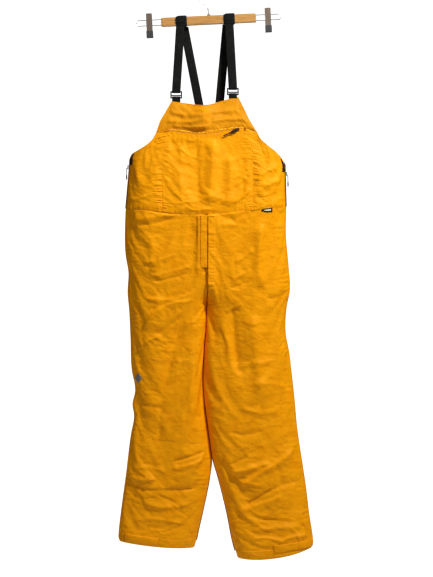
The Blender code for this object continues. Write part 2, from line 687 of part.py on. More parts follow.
def badge(name, slot, x, z, width, height, depth_at, thickness=1.0 * MM):
    """A small flat piece laid on the front skin, turned to lie along it."""
    near, far = depth_at(x - width / 2, z), depth_at(x + width / 2, z)
    turn = math.atan2(-(far - near), width)
    middle = -(max(depth_at(x, z), (near + far) / 2) + FABRIC + 1.2 * MM + thickness)
    bm = bmesh.new()
    box(bm, (-width / 2, -thickness / 2, -height / 2), (width / 2, thickness / 2, height / 2))
    obj = from_bmesh(name, bm, slot, smooth=False)
    obj.location = (x, middle, z)
    obj.rotation_euler = (0, 0, turn)
    return obj


def leg_skin(side, z):
    """Depth function of a leg's front at one height."""
    rows = LEGS[side]

    def depth_at(x, _):
        for above, below in zip(rows, rows[1:]):
            if above[1] >= z >= below[1]:
                share = (z - above[1]) / (below[1] - above[1])
                outer_x, _, inner_x, _, depth = (a + (b - a) * share for a, b in zip(above, below))
                across = 2 * (x - outer_x) / (inner_x - outer_x) - 1
                return leg_depth(x, z, max(-1, min(1, across)), depth)
        return 0.0

    return depth_at


def badges():
    badge("waist_label", "label", 0.1725, -0.6480, 33 * MM, 13 * MM, torso_depth)
    badge("reflective_patch", "reflective", -0.1960, -1.1300, 18 * MM, 36 * MM, leg_skin("right", -1.13))


# ---- Hanger ----------------------------------------------------------------------------
def hanger_frame():
    """Turns about the rail point. The hanger's own axes are X along the bar and Z up its stem."""
    frame = bpy.data.objects.new("hanger_frame", None)
    bpy.context.scene.collection.objects.link(frame)
    frame.rotation_euler = (0, -HANGER_TILT, 0)
    return frame


def wire(name, points, thick, slot, parent, resolution=2, cyclic=False):
    data = bpy.data.curves.new(name, "CURVE")
    data.dimensions = "3D"
    data.bevel_depth = thick / 2
    data.bevel_resolution = resolution
    data.use_fill_caps = True
    spline = data.splines.new("POLY")
    spline.points.add(len(points) - 1)
    for target, point in zip(spline.points, points):
        target.co = (*point, 1)
    spline.use_cyclic_u = cyclic
    return link(name, data, slot, parent)


def hook(frame):
    """Round bend over the rail, a neck that swings back under its centre, and a straight stem."""
    centre_z = HOOK_WIRE / 2 - HOOK_BEND
    points = []
    for i in range(19):
        angle = math.radians(-25 + 245 * i / 18)
        points.append((HOOK_BEND * math.cos(angle), 0, centre_z + HOOK_BEND * math.sin(angle)))
    points += [(-0.0125, 0, centre_z - 0.0235), (-0.0050, 0, centre_z - 0.0290), (-0.0010, 0, centre_z - 0.0350)]
    points += [(0, 0, centre_z - 0.0420), (0, 0, STEM_LOW)]
    wire("hanger_hook", points, HOOK_WIRE, "chrome", frame)


def hook_fittings(frame):
    top = -BAR_DROP + BAR_HEIGHT / 2
    bm = bmesh.new()
    cylinder(bm, (0, 0, top + GAP + 1.5 * MM), (0, 0, 1), 6 * MM, 3 * MM, 16)
    collar = from_bmesh("hook_collar", bm, "chrome", frame)
    bevel(collar, 0.8 * MM, 1)
    bm = bmesh.new()
    cylinder(bm, (0, 0, top), (0, 0, 1), HOOK_WIRE / 2 + GAP, 12 * MM, 12)
    cut(collar, cutter("collar_bore", bm, frame))
    bm = bmesh.new()
    cylinder(bm, (0, 0, STEM_LOW + 2 * MM), (0, 0, 1), 4.2 * MM, 3 * MM, 6)
    nut = from_bmesh("hook_nut", bm, "chrome", frame, smooth=False)
    bm = bmesh.new()
    cylinder(bm, (0, 0, STEM_LOW + 2 * MM), (0, 0, 1), HOOK_WIRE / 2 + GAP, 10 * MM, 12)
    cut(nut, cutter("nut_bore", bm, frame))


def bar(frame):
    bm = bmesh.new()
    box(
        bm,
        (-BAR_LENGTH / 2, -BAR_DEPTH / 2, -BAR_DROP - BAR_HEIGHT / 2),
        (BAR_LENGTH / 2, BAR_DEPTH / 2, -BAR_DROP + BAR_HEIGHT / 2),
    )
    body = from_bmesh("hanger_bar", bm, "hanger_wood", frame)
    bevel(body, 3 * MM, 2)
    tools = bmesh.new()
    cylinder(tools, (0, 0, -BAR_DROP), (0, 0, 1), HOOK_WIRE / 2 + 2 * GAP, BAR_HEIGHT + 6 * MM, 12)
    cut(body, cutter("stem_hole", tools, frame))
    tools = bmesh.new()
    cylinder(tools, (0, 0, -BAR_DROP - BAR_HEIGHT / 2), (0, 0, 1), 5 * MM, 14 * MM, 12)
    cut(body, cutter("nut_recess", tools, frame))
    tools = bmesh.new()
    for end in (-1, 1):
        for high in (-1, 1):
            place = (end * BAR_LENGTH / 2, 0, -BAR_DROP + high * LOOP_SPACING / 2)
            cylinder(tools, place, (1, 0, 0), LOOP_WIRE / 2 + GAP, 2 * (LOOP_SOCKET + GAP), 10)
    cut(body, cutter("loop_sockets", tools, frame))


def end_loop(frame, side):
    """U of wire set in the bar's end, which the clip slides on."""
    sign = SIGN[side]
    inner = sign * (BAR_LENGTH / 2 - LOOP_SOCKET)
    bend = LOOP_SPACING / 2
    outer = sign * (LOOP_REACH - bend)
    points = [(inner, 0, -BAR_DROP + bend)]
    for i in range(9):
        angle = math.radians(90 - 180 * i / 8)
        points.append((outer + sign * bend * math.cos(angle), 0, -BAR_DROP + bend * math.sin(angle)))
    points.append((inner, 0, -BAR_DROP - bend))
    wire(f"end_loop_{side}", points, LOOP_WIRE, "chrome", frame)


def clip(frame, side):
    """Spring clip: a rear jaw that rides the wires, and a front jaw that turns on the pin."""
    x = SIGN[side] * CLIP_AT
    mid = -BAR_DROP
    half = CLIP_WIDTH / 2
    rear_y, front_y = 4.2 * MM, -12.2 * MM

    bm = bmesh.new()
    box(bm, (x - half, rear_y, mid - CLIP_LOW), (x + half, rear_y + CLIP_SHEET, mid + CLIP_TOP))
    rear = from_bmesh(f"clip_rear_jaw_{side}", bm, "chrome", frame, smooth=False)
    for word, ear_front, ear_top in (("low", PIVOT_Y - 2.4 * MM, 2.4 * MM), ("high", PIVOT_Y + 1.5 * MM, 11 * MM)):
        ears = bmesh.new()
        for end in (-1, 1):
            low_x, high_x = sorted((x + end * half, x + end * (half - CLIP_SHEET)))
            box(ears, (low_x, ear_front, mid - 11 * MM), (high_x, rear_y + 0.5 * MM, mid + ear_top))
        cut(rear, cutter(f"rear_ears_{word}_{side}", ears, frame), "UNION")
    holes = bmesh.new()
    for high in (-1, 1):
        cylinder(holes, (x, 0, mid + high * LOOP_SPACING / 2), (1, 0, 0), LOOP_WIRE / 2 + GAP, 2 * CLIP_WIDTH, 10)
    cylinder(holes, (x, PIVOT_Y, mid), (1, 0, 0), PIN_RADIUS + GAP / 2, 2 * CLIP_WIDTH, 10)
    cut(rear, cutter(f"rear_holes_{side}", holes, frame))

    bm = bmesh.new()
    box(bm, (x - half, front_y, mid - CLIP_LOW), (x + half, front_y + CLIP_SHEET, mid + CLIP_TOP))
    front = from_bmesh(f"clip_front_jaw_{side}", bm, "chrome", frame, smooth=False)
    inner = half - CLIP_SHEET - 2 * GAP
    ears = bmesh.new()
    for end in (-1, 1):
        low_x, high_x = sorted((x + end * inner, x + end * (inner - CLIP_SHEET)))
        box(ears, (low_x, front_y + 0.5 * MM, mid - 3.6 * MM), (high_x, PIVOT_Y + 2.6 * MM, mid + 3.6 * MM))
    cut(front, cutter(f"front_ears_{side}", ears, frame), "UNION")
    holes = bmesh.new()
    cylinder(holes, (x, PIVOT_Y, mid), (1, 0, 0), PIN_RADIUS + GAP / 2, 2 * CLIP_WIDTH, 10)
    cut(front, cutter(f"front_hole_{side}", holes, frame))

    bm = bmesh.new()
    cylinder(bm, (x, PIVOT_Y, mid), (1, 0, 0), PIN_RADIUS, CLIP_WIDTH + 1.6 * MM, 10)
    from_bmesh(f"clip_pin_{side}", bm, "chrome", frame)
    clip_spring(frame, side, x, mid)

    pad_top, pad_low = mid - CLIP_LOW + 17 * MM, mid - CLIP_LOW - 1.2 * MM
    meet = (rear_y + CLIP_SHEET + front_y) / 2
    for word, jaw, plate_y, near, far in (
        ("rear", rear, rear_y, meet + GAP / 2, rear_y + CLIP_SHEET + 1.2 * MM),
        ("front", front, front_y, front_y - 1.2 * MM, meet - GAP / 2),
    ):
        bm = bmesh.new()
        box(bm, (x - half - 1.2 * MM, near, pad_low), (x + half + 1.2 * MM, far, pad_top))
        pad = from_bmesh(f"clip_{word}_pad_{side}", bm, "vinyl", frame, smooth=False)
        room = bmesh.new()
        box(
            room,
            (x - half - GAP, plate_y - GAP, mid - CLIP_LOW - GAP),
            (x + half + GAP, plate_y + CLIP_SHEET + GAP, pad_top + 5 * MM),
        )
        cut(pad, cutter(f"{word}_pad_room_{side}", room, frame))


def clip_spring(frame, side, x, mid):
    """Torsion spring round the pin, with an arm to each jaw."""
    radius, thick, turns, steps = 2.5 * MM, 1.0 * MM, 3, 10
    pitch = 1.5 * MM
    points = [(x - turns * pitch / 2, PIVOT_Y - 3.6 * MM, mid + 12 * MM)]
    for i in range(turns * steps + steps // 2 + 1):
        angle = math.radians(180 - 360 * i / steps)
        along_pin = x - turns * pitch / 2 + pitch * i / steps
        points.append((along_pin, PIVOT_Y + radius * math.cos(angle), mid + radius * math.sin(angle)))
    points.append((x + turns * pitch / 2 + 0.7 * MM, 2.2 * MM, mid + 4.4 * MM))
    wire(f"clip_spring_{side}", points, thick, "chrome", frame, resolution=1)


def hitch(frame, side):
    """The strap's turn round the bar, doubled over itself."""
    x = HITCH_X[side]
    out = WEBBING + GAP
    half_y = BAR_DEPTH / 2 + out
    half_z = BAR_HEIGHT / 2 + out
    corner = 4.2 * MM
    path = []
    for sign_y, sign_z, start in ((1, 1, 0), (-1, 1, 90), (-1, -1, 180), (1, -1, 270)):
        centre = (sign_y * (half_y - corner), sign_z * (half_z - corner))
        path += arc_points(centre, corner, start, start + 90, 3)
    points = [(x, y, z - BAR_DROP) for y, z in path]
    ribbon(f"strap_hitch_{side}", points, HITCH_WIDTH, "webbing", 2 * WEBBING - GAP, frame, closed=True)


def main():
    clear_scene()
    frame = hanger_frame()
    hook(frame)
    hook_fittings(frame)
    bar(frame)
    torso()
    legs()
    chest_zip()
    fly()
    side_zips()
    ankle_tabs()
    badges()
    for side in SIGN:
        end_loop(frame, side)
        clip(frame, side)
        hitch(frame, side)
        front_strap(side)
        back_strap(side)
        strap_tab(side)
        buckle(side)


main()
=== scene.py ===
import json
import math

import bmesh
import bpy
import numpy as np
from mathutils import Matrix, Vector, noise
from mathutils.bvhtree import BVHTree


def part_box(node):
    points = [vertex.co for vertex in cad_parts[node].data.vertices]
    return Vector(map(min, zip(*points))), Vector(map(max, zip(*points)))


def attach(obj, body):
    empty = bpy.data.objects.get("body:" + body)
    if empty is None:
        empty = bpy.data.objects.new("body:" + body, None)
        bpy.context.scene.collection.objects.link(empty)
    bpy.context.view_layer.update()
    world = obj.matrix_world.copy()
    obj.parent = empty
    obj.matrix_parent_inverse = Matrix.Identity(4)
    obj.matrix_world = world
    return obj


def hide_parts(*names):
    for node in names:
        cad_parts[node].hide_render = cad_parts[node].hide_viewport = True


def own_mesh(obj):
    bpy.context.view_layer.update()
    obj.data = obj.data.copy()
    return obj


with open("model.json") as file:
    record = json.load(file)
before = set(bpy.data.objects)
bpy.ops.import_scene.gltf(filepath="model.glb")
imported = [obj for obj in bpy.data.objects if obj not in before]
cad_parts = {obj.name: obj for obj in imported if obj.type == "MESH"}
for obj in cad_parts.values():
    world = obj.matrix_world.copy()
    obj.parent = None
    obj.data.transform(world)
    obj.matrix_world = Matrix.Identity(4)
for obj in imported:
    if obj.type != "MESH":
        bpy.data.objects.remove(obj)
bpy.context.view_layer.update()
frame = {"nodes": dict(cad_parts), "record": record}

MM = 0.001

# ---- Sizes that the CAD model sets -----------------------------------------------------
HANGER_TILT = math.radians(2.76)
BAR_DROP = 95 * MM
BAR_HEIGHT = 26 * MM
BAR_DEPTH = 14 * MM
WAIST_Z = -0.6615
FLY_END_Z = -0.80
CROTCH_Z = -0.892
RISE_TOP = -0.858  # the front opens into two legs between these
RISE_LOW = -0.925
SKIN = 2.2 * MM  # cloth's outer face above the CAD model's half depth
STRAP_WIDTH = 25 * MM
WEBBING = 1.6 * MM
BUCKLE_HEIGHT = 21 * MM
BUCKLE_Y = -9 * MM
BUCKLE_BAR = 1.7 * MM  # from the buckle's edge to the middle of its bar
STRAP_TURN = 3.4 * MM  # radius of the webbing round a bar
FREE_TAIL = 62 * MM
ZIP_ROOM = 7 * MM  # the chest zip's slot
FLY_GAP = {"right": 8.0 * MM, "left": 0.2 * MM}  # how far the leg fronts stop from the centre at the fly
FLY_LIP = 7.4 * MM  # how far the left front stands up beside the fly's flap
HEM_HEIGHT = 24 * MM
SIGN = {"right": -1, "left": 1}

TORSO_DEPTH = [(-0.32, 0.01), (-0.5, 0.03), (-0.64, 0.042), (-0.9, 0.042)]
LEG_DEPTH = [
    (-0.646, 0.042), (-0.9, 0.042), (-1.07, 0.04), (-1.25, 0.037), (-1.39, 0.035), (-1.65, 0.031),
]
FLAT_SHARE = 0.42  # of the torso's half width
TORSO_SQUARENESS = 4.2
INNER_SQUARENESS = 4.5
OUTER_SQUARENESS = 3.4
LEG_WIDTH = 0.23
LEG_LENGTH = 0.97
CUFF_CORNER = 9 * MM
INSEAM_TOP_Z = -0.87  # where the inseam's dark tube starts: painted shade in the groove between the legs
FRONT_RUNS = {
    "right": [(-0.0775, -0.1165), (-0.089, -0.302)],
    "left": [(0.0645, -0.1098), (0.0748, -0.2925)],
}
BACK_RUNS = {
    "right": [(-0.066, -0.1165), (-0.01, -0.405)],
    "left": [(0.057, -0.1098), (0.03, -0.405)],
}
HITCH_X = {"right": -0.079, "left": 0.06}

# ---- How fine the cloth is, and how it crumples -----------------------------------------
LEG_COLUMNS = 64
LEG_ROWS = 320
STITCH_PITCH = 4.2 * MM
THREAD = 0.75 * MM
ZIP_PITCH = 1.7 * MM
FLY_STITCHES = (-10.4 * MM, -16.2 * MM)
FOLD_SCALE = 1.5
FOLD_STEPS = 13
FOLD_FADE = 0.16  # share of a fold's length over which each end dies away
RIDGE_SHARPNESS = 1.6
VALLEY_SHARPNESS = 1.15
CALM_RIM = 11 * MM  # folds die away this close to a panel's edge
CRINKLE_BROAD = 2.6  # heights of the creasing, in mm
CRINKLE_RIDGED = 3.7
CRINKLE_FINE = 1.8
GATHERS = {"side_cloth_right": 2.0, "side_cloth_left": 1.7}  # how strongly a panel's seams gather
PLAIN_GATHERS = 0.9
PUCKER_HEIGHT = 1.7 * MM
SEAM_DIP = 0.35 * MM
FLY_GATHERS = 1.3 * MM
CUFF_WAVE = 2.2 * MM
WAIST_TUCK = 1.3 * MM
WAIST_OVERLAP = 2.5 * MM  # how far the legs' tops run up behind the torso
SEAT_SEAM = 1.2 * MM
TUBE_SIDES = 8
PULL_SIDES = 12
PULL_RINGS = 40
BRACE_SAG = 0.25 * MM
LEG_FOLD_TIGHT = 0.66  # the legs' folds are this much narrower than listed
EXTRA_LENGTH = 0.026  # what the cloth is cut too long by, as a share
EXTRA_WIDTH = 0.006
CRUMPLE_FRAMES = 18
MOST_MOVED = 8 * MM
HELD_HEM = 30 * MM  # each panel's lowest part keeps its place
HELD_DEPTH = 3 * MM  # and so does cloth this close to the middle of the depth
LEAST_DEPTH = 0.55  # share of its first depth that the cloth keeps
CLOTH_SETTINGS = {
    "quality": 5, "mass": 0.12, "tension_stiffness": 30, "compression_stiffness": 30, "shear_stiffness": 8,
    "bending_stiffness": 0.15, "tension_damping": 12, "compression_damping": 12, "shear_damping": 12,
    "bending_damping": 1, "air_damping": 2,
}

# ---- The garment's outline, as (x, z) points -------------------------------------------
TOP_EDGE = [
    (-0.1018, -0.3328), (-0.06, -0.3385), (-0.01, -0.344), (0.005, -0.3425), (0.04, -0.3325),
    (0.089, -0.3195),
]
YOKE_SIDE = {
    "right": [(-0.1018, -0.3328), (-0.118, -0.361), (-0.1334, -0.388), (-0.1462, -0.4239)],
    "left": [(0.089, -0.3195), (0.106, -0.353), (0.1204, -0.3838), (0.144, -0.4225)],
}
ARMHOLE = {
    "right": [
        (-0.1462, -0.4239), (-0.156, -0.442), (-0.17, -0.456), (-0.2, -0.475), (-0.218, -0.486),
        (-0.223, -0.4993),
    ],
    "left": [
        (0.144, -0.4225), (0.154, -0.442), (0.169, -0.456), (0.198, -0.479), (0.216, -0.498),
        (0.2257, -0.515),
    ],
}
ZIP_LINE = [
    (-0.1462, -0.4239), (-0.113, -0.415), (-0.06, -0.42), (-0.015, -0.4235), (0.04, -0.415),
    (0.11, -0.41), (0.144, -0.4225),
]
PRINCESS = {
    "right": [(-0.113, -0.415), (-0.124, -0.47), (-0.128, -0.54), (-0.128, -0.653)],
    "left": [(0.11, -0.41), (0.127, -0.46), (0.133, -0.54), (0.133, -0.649)],
}
WAIST = [
    (-0.235, -0.645), (-0.19, -0.6475), (-0.128, -0.657), (-0.04, -0.6615), (0.03, -0.66),
    (0.133, -0.645), (0.18, -0.64), (0.229, -0.639),
]
OUTER = {
    "right": [
        (-0.235, -0.645), (-0.2366, -0.686), (-0.2349, -0.776), (-0.2268, -0.826), (-0.2291, -0.885),
        (-0.2248, -0.935), (-0.221, -1.013), (-0.2175, -1.106), (-0.2075, -1.172), (-0.215, -1.207),
        (-0.2105, -1.242), (-0.219, -1.292), (-0.2349, -1.418), (-0.2474, -1.511), (-0.2555, -1.584),
        (-0.2565, -1.603),
    ],
    "left": [
        (0.229, -0.639), (0.2277, -0.714), (0.2355, -0.807), (0.2393, -0.878), (0.2295, -0.931),
        (0.2277, -1.005), (0.2372, -1.056), (0.2451, -1.121), (0.2529, -1.192), (0.2607, -1.277),
        (0.2755, -1.377), (0.2859, -1.446), (0.2958, -1.528), (0.3062, -1.597), (0.308, -1.62),
    ],
}
INNER = {
    "right": [
        (0.0028, -0.6615), (0.0028, -0.8), (0.0026, -0.88), (-0.0008, -0.925), (-0.0035, -0.993),
        (-0.01, -1.063), (-0.012, -1.153), (-0.005, -1.225), (0.002, -1.278), (0.0085, -1.325),
        (0.0135, -1.372), (0.008, -1.42), (-0.012, -1.52), (-0.0255, -1.58), (-0.034, -1.622),
    ],
    "left": [
        (0.003, -0.6615), (0.003, -0.8), (0.0028, -0.88), (-0.0004, -0.925), (-0.0029, -0.993),
        (-0.0094, -1.063), (-0.0114, -1.153), (-0.0044, -1.225), (0.0026, -1.278), (0.0092, -1.325),
        (0.016, -1.367), (0.03, -1.415), (0.058, -1.528), (0.0722, -1.601), (0.086, -1.652),
    ],
}
HEM_SAG = {"right": 0.004, "left": 0.014}
BACK_TOP = [(-0.056, -0.375), (0.01, -0.378), (0.076, -0.375)]
BACK_ARMHOLE = {
    "right": [
        (-0.056, -0.375), (-0.076, -0.41), (-0.108, -0.44), (-0.165, -0.474), (-0.212, -0.49),
        (-0.223, -0.4993),
    ],
    "left": [
        (0.076, -0.375), (0.094, -0.41), (0.124, -0.44), (0.176, -0.479), (0.215, -0.501),
        (0.2257, -0.515),
    ],
}

# ---- What is sewn on -------------------------------------------------------------------
WEBBING_PROFILE = [
    (-1, 0), (-0.93, 1), (-0.5, 1.12), (0, 1.15), (0.5, 1.12), (0.93, 1),
    (1, 0), (0.93, -1), (0.5, -1.12), (0, -1.15), (-0.5, -1.12), (-0.93, -1),
]
# Turns of a hitch: name, gap to the bar, width and shift in mm, and lean.
HITCH_TURNS = (
    ("inner", 1.0, 31.5, 0.0, 0.0),
    ("outer", 2.6, 26.0, 1.2, 0.035),
    ("fold", 2.7, 26.0, -2.0, -0.05),
)
SIDE_ZIP_ENDS = {
    "right": [(-0.2242, -0.515), (-0.235, -0.641)],
    "left": [(0.2262, -0.535), (0.2289, -0.635)],
}
TAB_SLOPE = {"right": 0.13, "left": 0.14}
KNEE_ACROSS = (0.14, 0.93)  # shares of the leg's width and length
KNEE_DOWN = (0.437, 0.688)
KNEE_STITCH_ACROSS = (0.155, 0.915)
KNEE_STITCH_DOWN = (0.443, 0.682)
BACK_YOKE_TOP_Z = -0.384
BACK_YOKE_LOW_Z = -0.424
LABEL_AT = (0.1725, -0.648)
LOZENGE_AT = (-0.1985, -1.1315)
FLY_ROWS = [
    [(0.0062, -0.672), (0.0062, -0.78), (0.006, -0.88)],
    [(0.0286, -0.67), (0.0286, -0.76), (0.0276, -0.83), (0.02, -0.872), (0.0062, -0.892)],
    [(-0.0165, -0.818), (-0.0185, -0.845), (-0.03, -0.885)],
]
BARTACK = [(-0.0165, -0.8225), (-0.0185, -0.8265)]

# Folds: a path of (x, z) points in mm, its height, and its width on its upper or left side and on the
# other, all in mm. A height below zero is a valley.
FRONT_FOLDS = [
    ([(-26, -640), (-26, -740), (-25, -850)], 2.6, 18, 18),
    ([(-4, -790), (-4, -840), (-6, -905)], -2.4, 5, 7),
    ([(-110, -366), (-50, -373), (-15, -371)], 2.6, 9, 5),
    ([(10, -368), (50, -361), (100, -359)], 2.2, 9, 5),
    ([(-120, -389), (-50, -394), (-20, -391)], 2.6, 9, 5),
    ([(10, -391), (80, -384), (120, -384)], 2.2, 9, 5),
    ([(-105, -404), (-50, -409), (-10, -410)], 1.8, 6, 4),
    ([(75, -562), (100, -540), (128, -522)], 1.8, 6, 6),
    ([(68, -588), (100, -572), (130, -548)], -1.6, 6, 6),
    ([(78, -628), (105, -606), (131, -586)], 1.8, 7, 6),
    ([(-225, -617), (-180, -608), (-132, -590)], 2.0, 7, 9),
    ([(-215, -562), (-180, -548), (-135, -530)], 1.6, 7, 8),
    ([(140, -602), (180, -572), (222, -556)], 4.0, 8, 10),
    ([(140, -566), (170, -536), (210, -522)], 3.6, 8, 8),
    ([(-225, -1392), (-170, -1388), (-110, -1400)], 2.5, 7, 9),
    ([(-232, -1462), (-190, -1476), (-145, -1470)], -2.0, 6, 6),
    ([(-150, -1462), (-110, -1478), (-65, -1505)], -2.2, 6, 6),
    ([(-225, -1542), (-140, -1536), (-55, -1552)], 2.0, 9, 9),
    ([(100, -1552), (170, -1536), (250, -1546)], -2.0, 7, 7),
    ([(120, -1602), (160, -1590), (220, -1600)], 1.8, 7, 7),
    ([(245, -1560), (265, -1590), (272, -1630)], 2.2, 6, 8),
    ([(270, -1550), (288, -1575), (293, -1610)], -2.0, 5, 5),
    ([(-6, -350), (-12, -385), (-10, -418)], 7.0, 34, 16),
    ([(18, -430), (16, -500), (8, -640)], 7.0, 17, 30),
    ([(-30, -445), (-26, -540), (-22, -645)], -3.5, 22, 14),
    ([(62, -480), (68, -560), (58, -645)], 5.0, 15, 20),
    ([(-66, -450), (-78, -540), (-72, -640)], 4.0, 26, 20),
    ([(-228, -672), (-160, -668), (-85, -655)], 3.0, 9, 14),
    ([(-230, -694), (-165, -686), (-88, -670)], -3.5, 12, 9),
    ([(-100, -720), (-140, -768), (-182, -822)], -2.6, 9, 6),
    ([(-90, -730), (-128, -775), (-170, -828)], 2.4, 6, 22),
    ([(-40, -806), (-90, -820), (-170, -838)], 2.6, 7, 12),
    ([(-40, -824), (-90, -838), (-160, -852)], -2.2, 8, 6),
    ([(-85, -772), (-130, -786), (-190, -800)], 1.8, 5, 9),
    ([(-15, -868), (-70, -896), (-130, -905), (-190, -900)], 4.5, 10, 16),
    ([(-30, -905), (-110, -918), (-150, -940), (-195, -1000)], 6.0, 9, 22),
    ([(-70, -950), (-110, -975), (-150, -1010)], -3.0, 12, 9),
    ([(-130, -1005), (-165, -1020), (-205, -1048)], 4.0, 8, 12),
    ([(-70, -950), (-105, -1080), (-130, -1200), (-142, -1350)], -8.5, 46, 38),
    ([(-30, -1020), (-42, -1120), (-40, -1260)], 4.5, 26, 24),
    ([(-205, -1205), (-160, -1212), (-120, -1220)], -3.5, 10, 8),
    ([(4, -1340), (-50, -1356), (-105, -1372)], -5.0, 9, 8),
    ([(0, -1362), (-50, -1378), (-110, -1392)], 4.0, 8, 14),
    ([(-236, -1412), (-200, -1424), (-150, -1420)], 4.5, 16, 8),
    ([(-236, -1431), (-184, -1447), (-100, -1450), (-10, -1448)], -5.0, 8, 10),
    ([(-185, -1447), (-150, -1415)], 3.0, 8, 8),
    ([(-190, -1490), (-110, -1500), (-40, -1490)], 3.5, 14, 10),
    ([(-120, -1480), (-70, -1520), (-45, -1535)], -2.5, 10, 8),
    ([(20, -700), (60, -690), (120, -668)], 2.5, 14, 14),
    ([(160, -680), (150, -780), (162, -880)], 7.0, 38, 17),
    ([(80, -800), (110, -780), (135, -760)], 3.0, 10, 8),
    ([(70, -850), (100, -832), (130, -815)], 3.0, 9, 8),
    ([(60, -875), (95, -862), (125, -850)], -2.5, 9, 8),
    ([(72, -900), (80, -1000), (92, -1130)], -8.0, 38, 34),
    ([(128, -930), (140, -1040), (160, -1200)], 6.5, 32, 38),
    ([(50, -940), (80, -925), (110, -915)], 2.5, 9, 9),
    ([(170, -900), (200, -900), (236, -880)], -4.0, 12, 12),
    ([(60, -1100), (120, -1092), (200, -1080)], 2.5, 12, 10),
    ([(130, -1150), (190, -1145), (235, -1160)], 3.0, 12, 10),
    ([(90, -1210), (150, -1228), (220, -1222)], 3.0, 12, 12),
    ([(110, -1262), (135, -1240), (150, -1200)], 2.5, 9, 9),
    ([(60, -1285), (110, -1292), (170, -1280)], -2.5, 10, 10),
    ([(48, -1385), (85, -1372), (122, -1352)], -4.0, 9, 9),
    ([(60, -1402), (120, -1388), (190, -1372)], 6.0, 12, 16),
    ([(90, -1445), (160, -1400), (220, -1365), (262, -1330)], 6.5, 12, 20),
    ([(100, -1508), (160, -1465), (210, -1440), (282, -1428)], -6.0, 12, 9),
    ([(80, -1520), (150, -1492), (230, -1462)], 4.0, 8, 18),
    ([(120, -1570), (200, -1560), (280, -1560)], 3.0, 12, 14),
    ([(200, -1610), (240, -1590), (296, -1585)], 3.0, 9, 9),
]
BACK_FOLDS = [
    ([(0, -420), (4, -520), (0, -640)], 4.0, 26, 26),
    ([(-120, -480), (-100, -560), (-110, -640)], 4.0, 26, 18),
    ([(110, -480), (120, -560), (100, -640)], 4.0, 20, 26),
    ([(-200, -700), (-110, -760), (-30, -860)], 6.0, 14, 26),
    ([(200, -700), (120, -770), (35, -865)], 6.0, 14, 26),
    ([(-215, -860), (-120, -905), (-25, -900)], 5.0, 12, 18),
    ([(215, -850), (120, -900), (25, -905)], 5.0, 12, 18),
    ([(-205, -1060), (-120, -1095), (-30, -1085)], 6.0, 12, 20),
    ([(-200, -1120), (-110, -1150), (-30, -1140)], -4.5, 12, 12),
    ([(-195, -1180), (-120, -1200), (-40, -1215)], 5.0, 12, 20),
    ([(20, -1075), (110, -1100), (220, -1060)], 6.0, 12, 20),
    ([(20, -1140), (120, -1150), (230, -1120)], -4.5, 12, 12),
    ([(30, -1200), (130, -1215), (240, -1180)], 5.0, 12, 20),
    ([(-215, -1340), (-120, -1370), (0, -1350)], 5.0, 12, 20),
    ([(60, -1400), (150, -1390), (260, -1340)], 5.0, 12, 20),
    ([(-230, -1480), (-130, -1470), (-30, -1490)], 4.0, 12, 16),
    ([(80, -1540), (170, -1510), (280, -1490)], 4.0, 12, 16),
]
EDGE_WAVES = [
    ([(-6, -310), (-8, -345), (-10, -400)], 3.5, 26, 16),
    ([(45, -300), (45, -330), (44, -380)], -2.0, 20, 20),
    ([(-60, -310), (-58, -345), (-56, -380)], -1.5, 20, 20),
]
SIDE_REACH = {
    side: [(-0.30, 0.226), *[(z, abs(x)) for x, z in [ARMHOLE[side][-1], *OUTER[side][:8]]]]
    for side in SIGN
}


# ---- Curves and small maths ------------------------------------------------------------
def smooth_curve(points):
    """A function of 0 to 1 that runs smoothly through the points."""
    points = np.array(points, float)
    knots = np.concatenate([[0], np.cumsum(np.linalg.norm(np.diff(points, axis=0), axis=1))])
    knots /= knots[-1]
    slopes = np.gradient(points, knots, axis=0)

    def at(share):
        share = np.clip(np.asarray(share, float), 0, 1)
        i = np.clip(np.searchsorted(knots, share, side="right") - 1, 0, len(knots) - 2)
        step = (knots[i + 1] - knots[i])[..., None]
        s = (share[..., None] - knots[i][..., None]) / step
        start, end = points[i], points[i + 1]
        out, into = slopes[i] * step, slopes[i + 1] * step
        return (
            start * (2 * s**3 - 3 * s**2 + 1) + out * (s**3 - 2 * s**2 + s)
            + end * (3 * s**2 - 2 * s**3) + into * (s**3 - s**2)
        )

    return at


def dense(path, low=None, high=None):
    """Closely spaced points of a path, kept to a range of x."""
    points = smooth_curve(path)(np.linspace(0, 1, 161))
    keep = np.ones(len(points), bool)
    if low is not None:
        keep &= (points[:, 0] > low) & (points[:, 0] < high)
    return [tuple(p) for p in points[keep]]


def falling(table, z):
    """Interpolates a table of (z, value) whose z falls."""
    return np.interp(-np.asarray(z, float), [-row[0] for row in table], [row[1] for row in table])


def smooth_step(start, end, at):
    share = np.clip((at - start) / (end - start), 0, 1)
    return share * share * (3 - 2 * share)


def wobble(x, z, size, seed=0.0):
    """Smooth noise from -1 to 1 over (x, z), with features of about the given size."""
    flat = np.stack([np.ravel(x), np.ravel(z)], axis=1) / size
    made = [noise.noise(Vector((a, seed, b))) for a, b in flat]
    return np.reshape(made, np.shape(x))


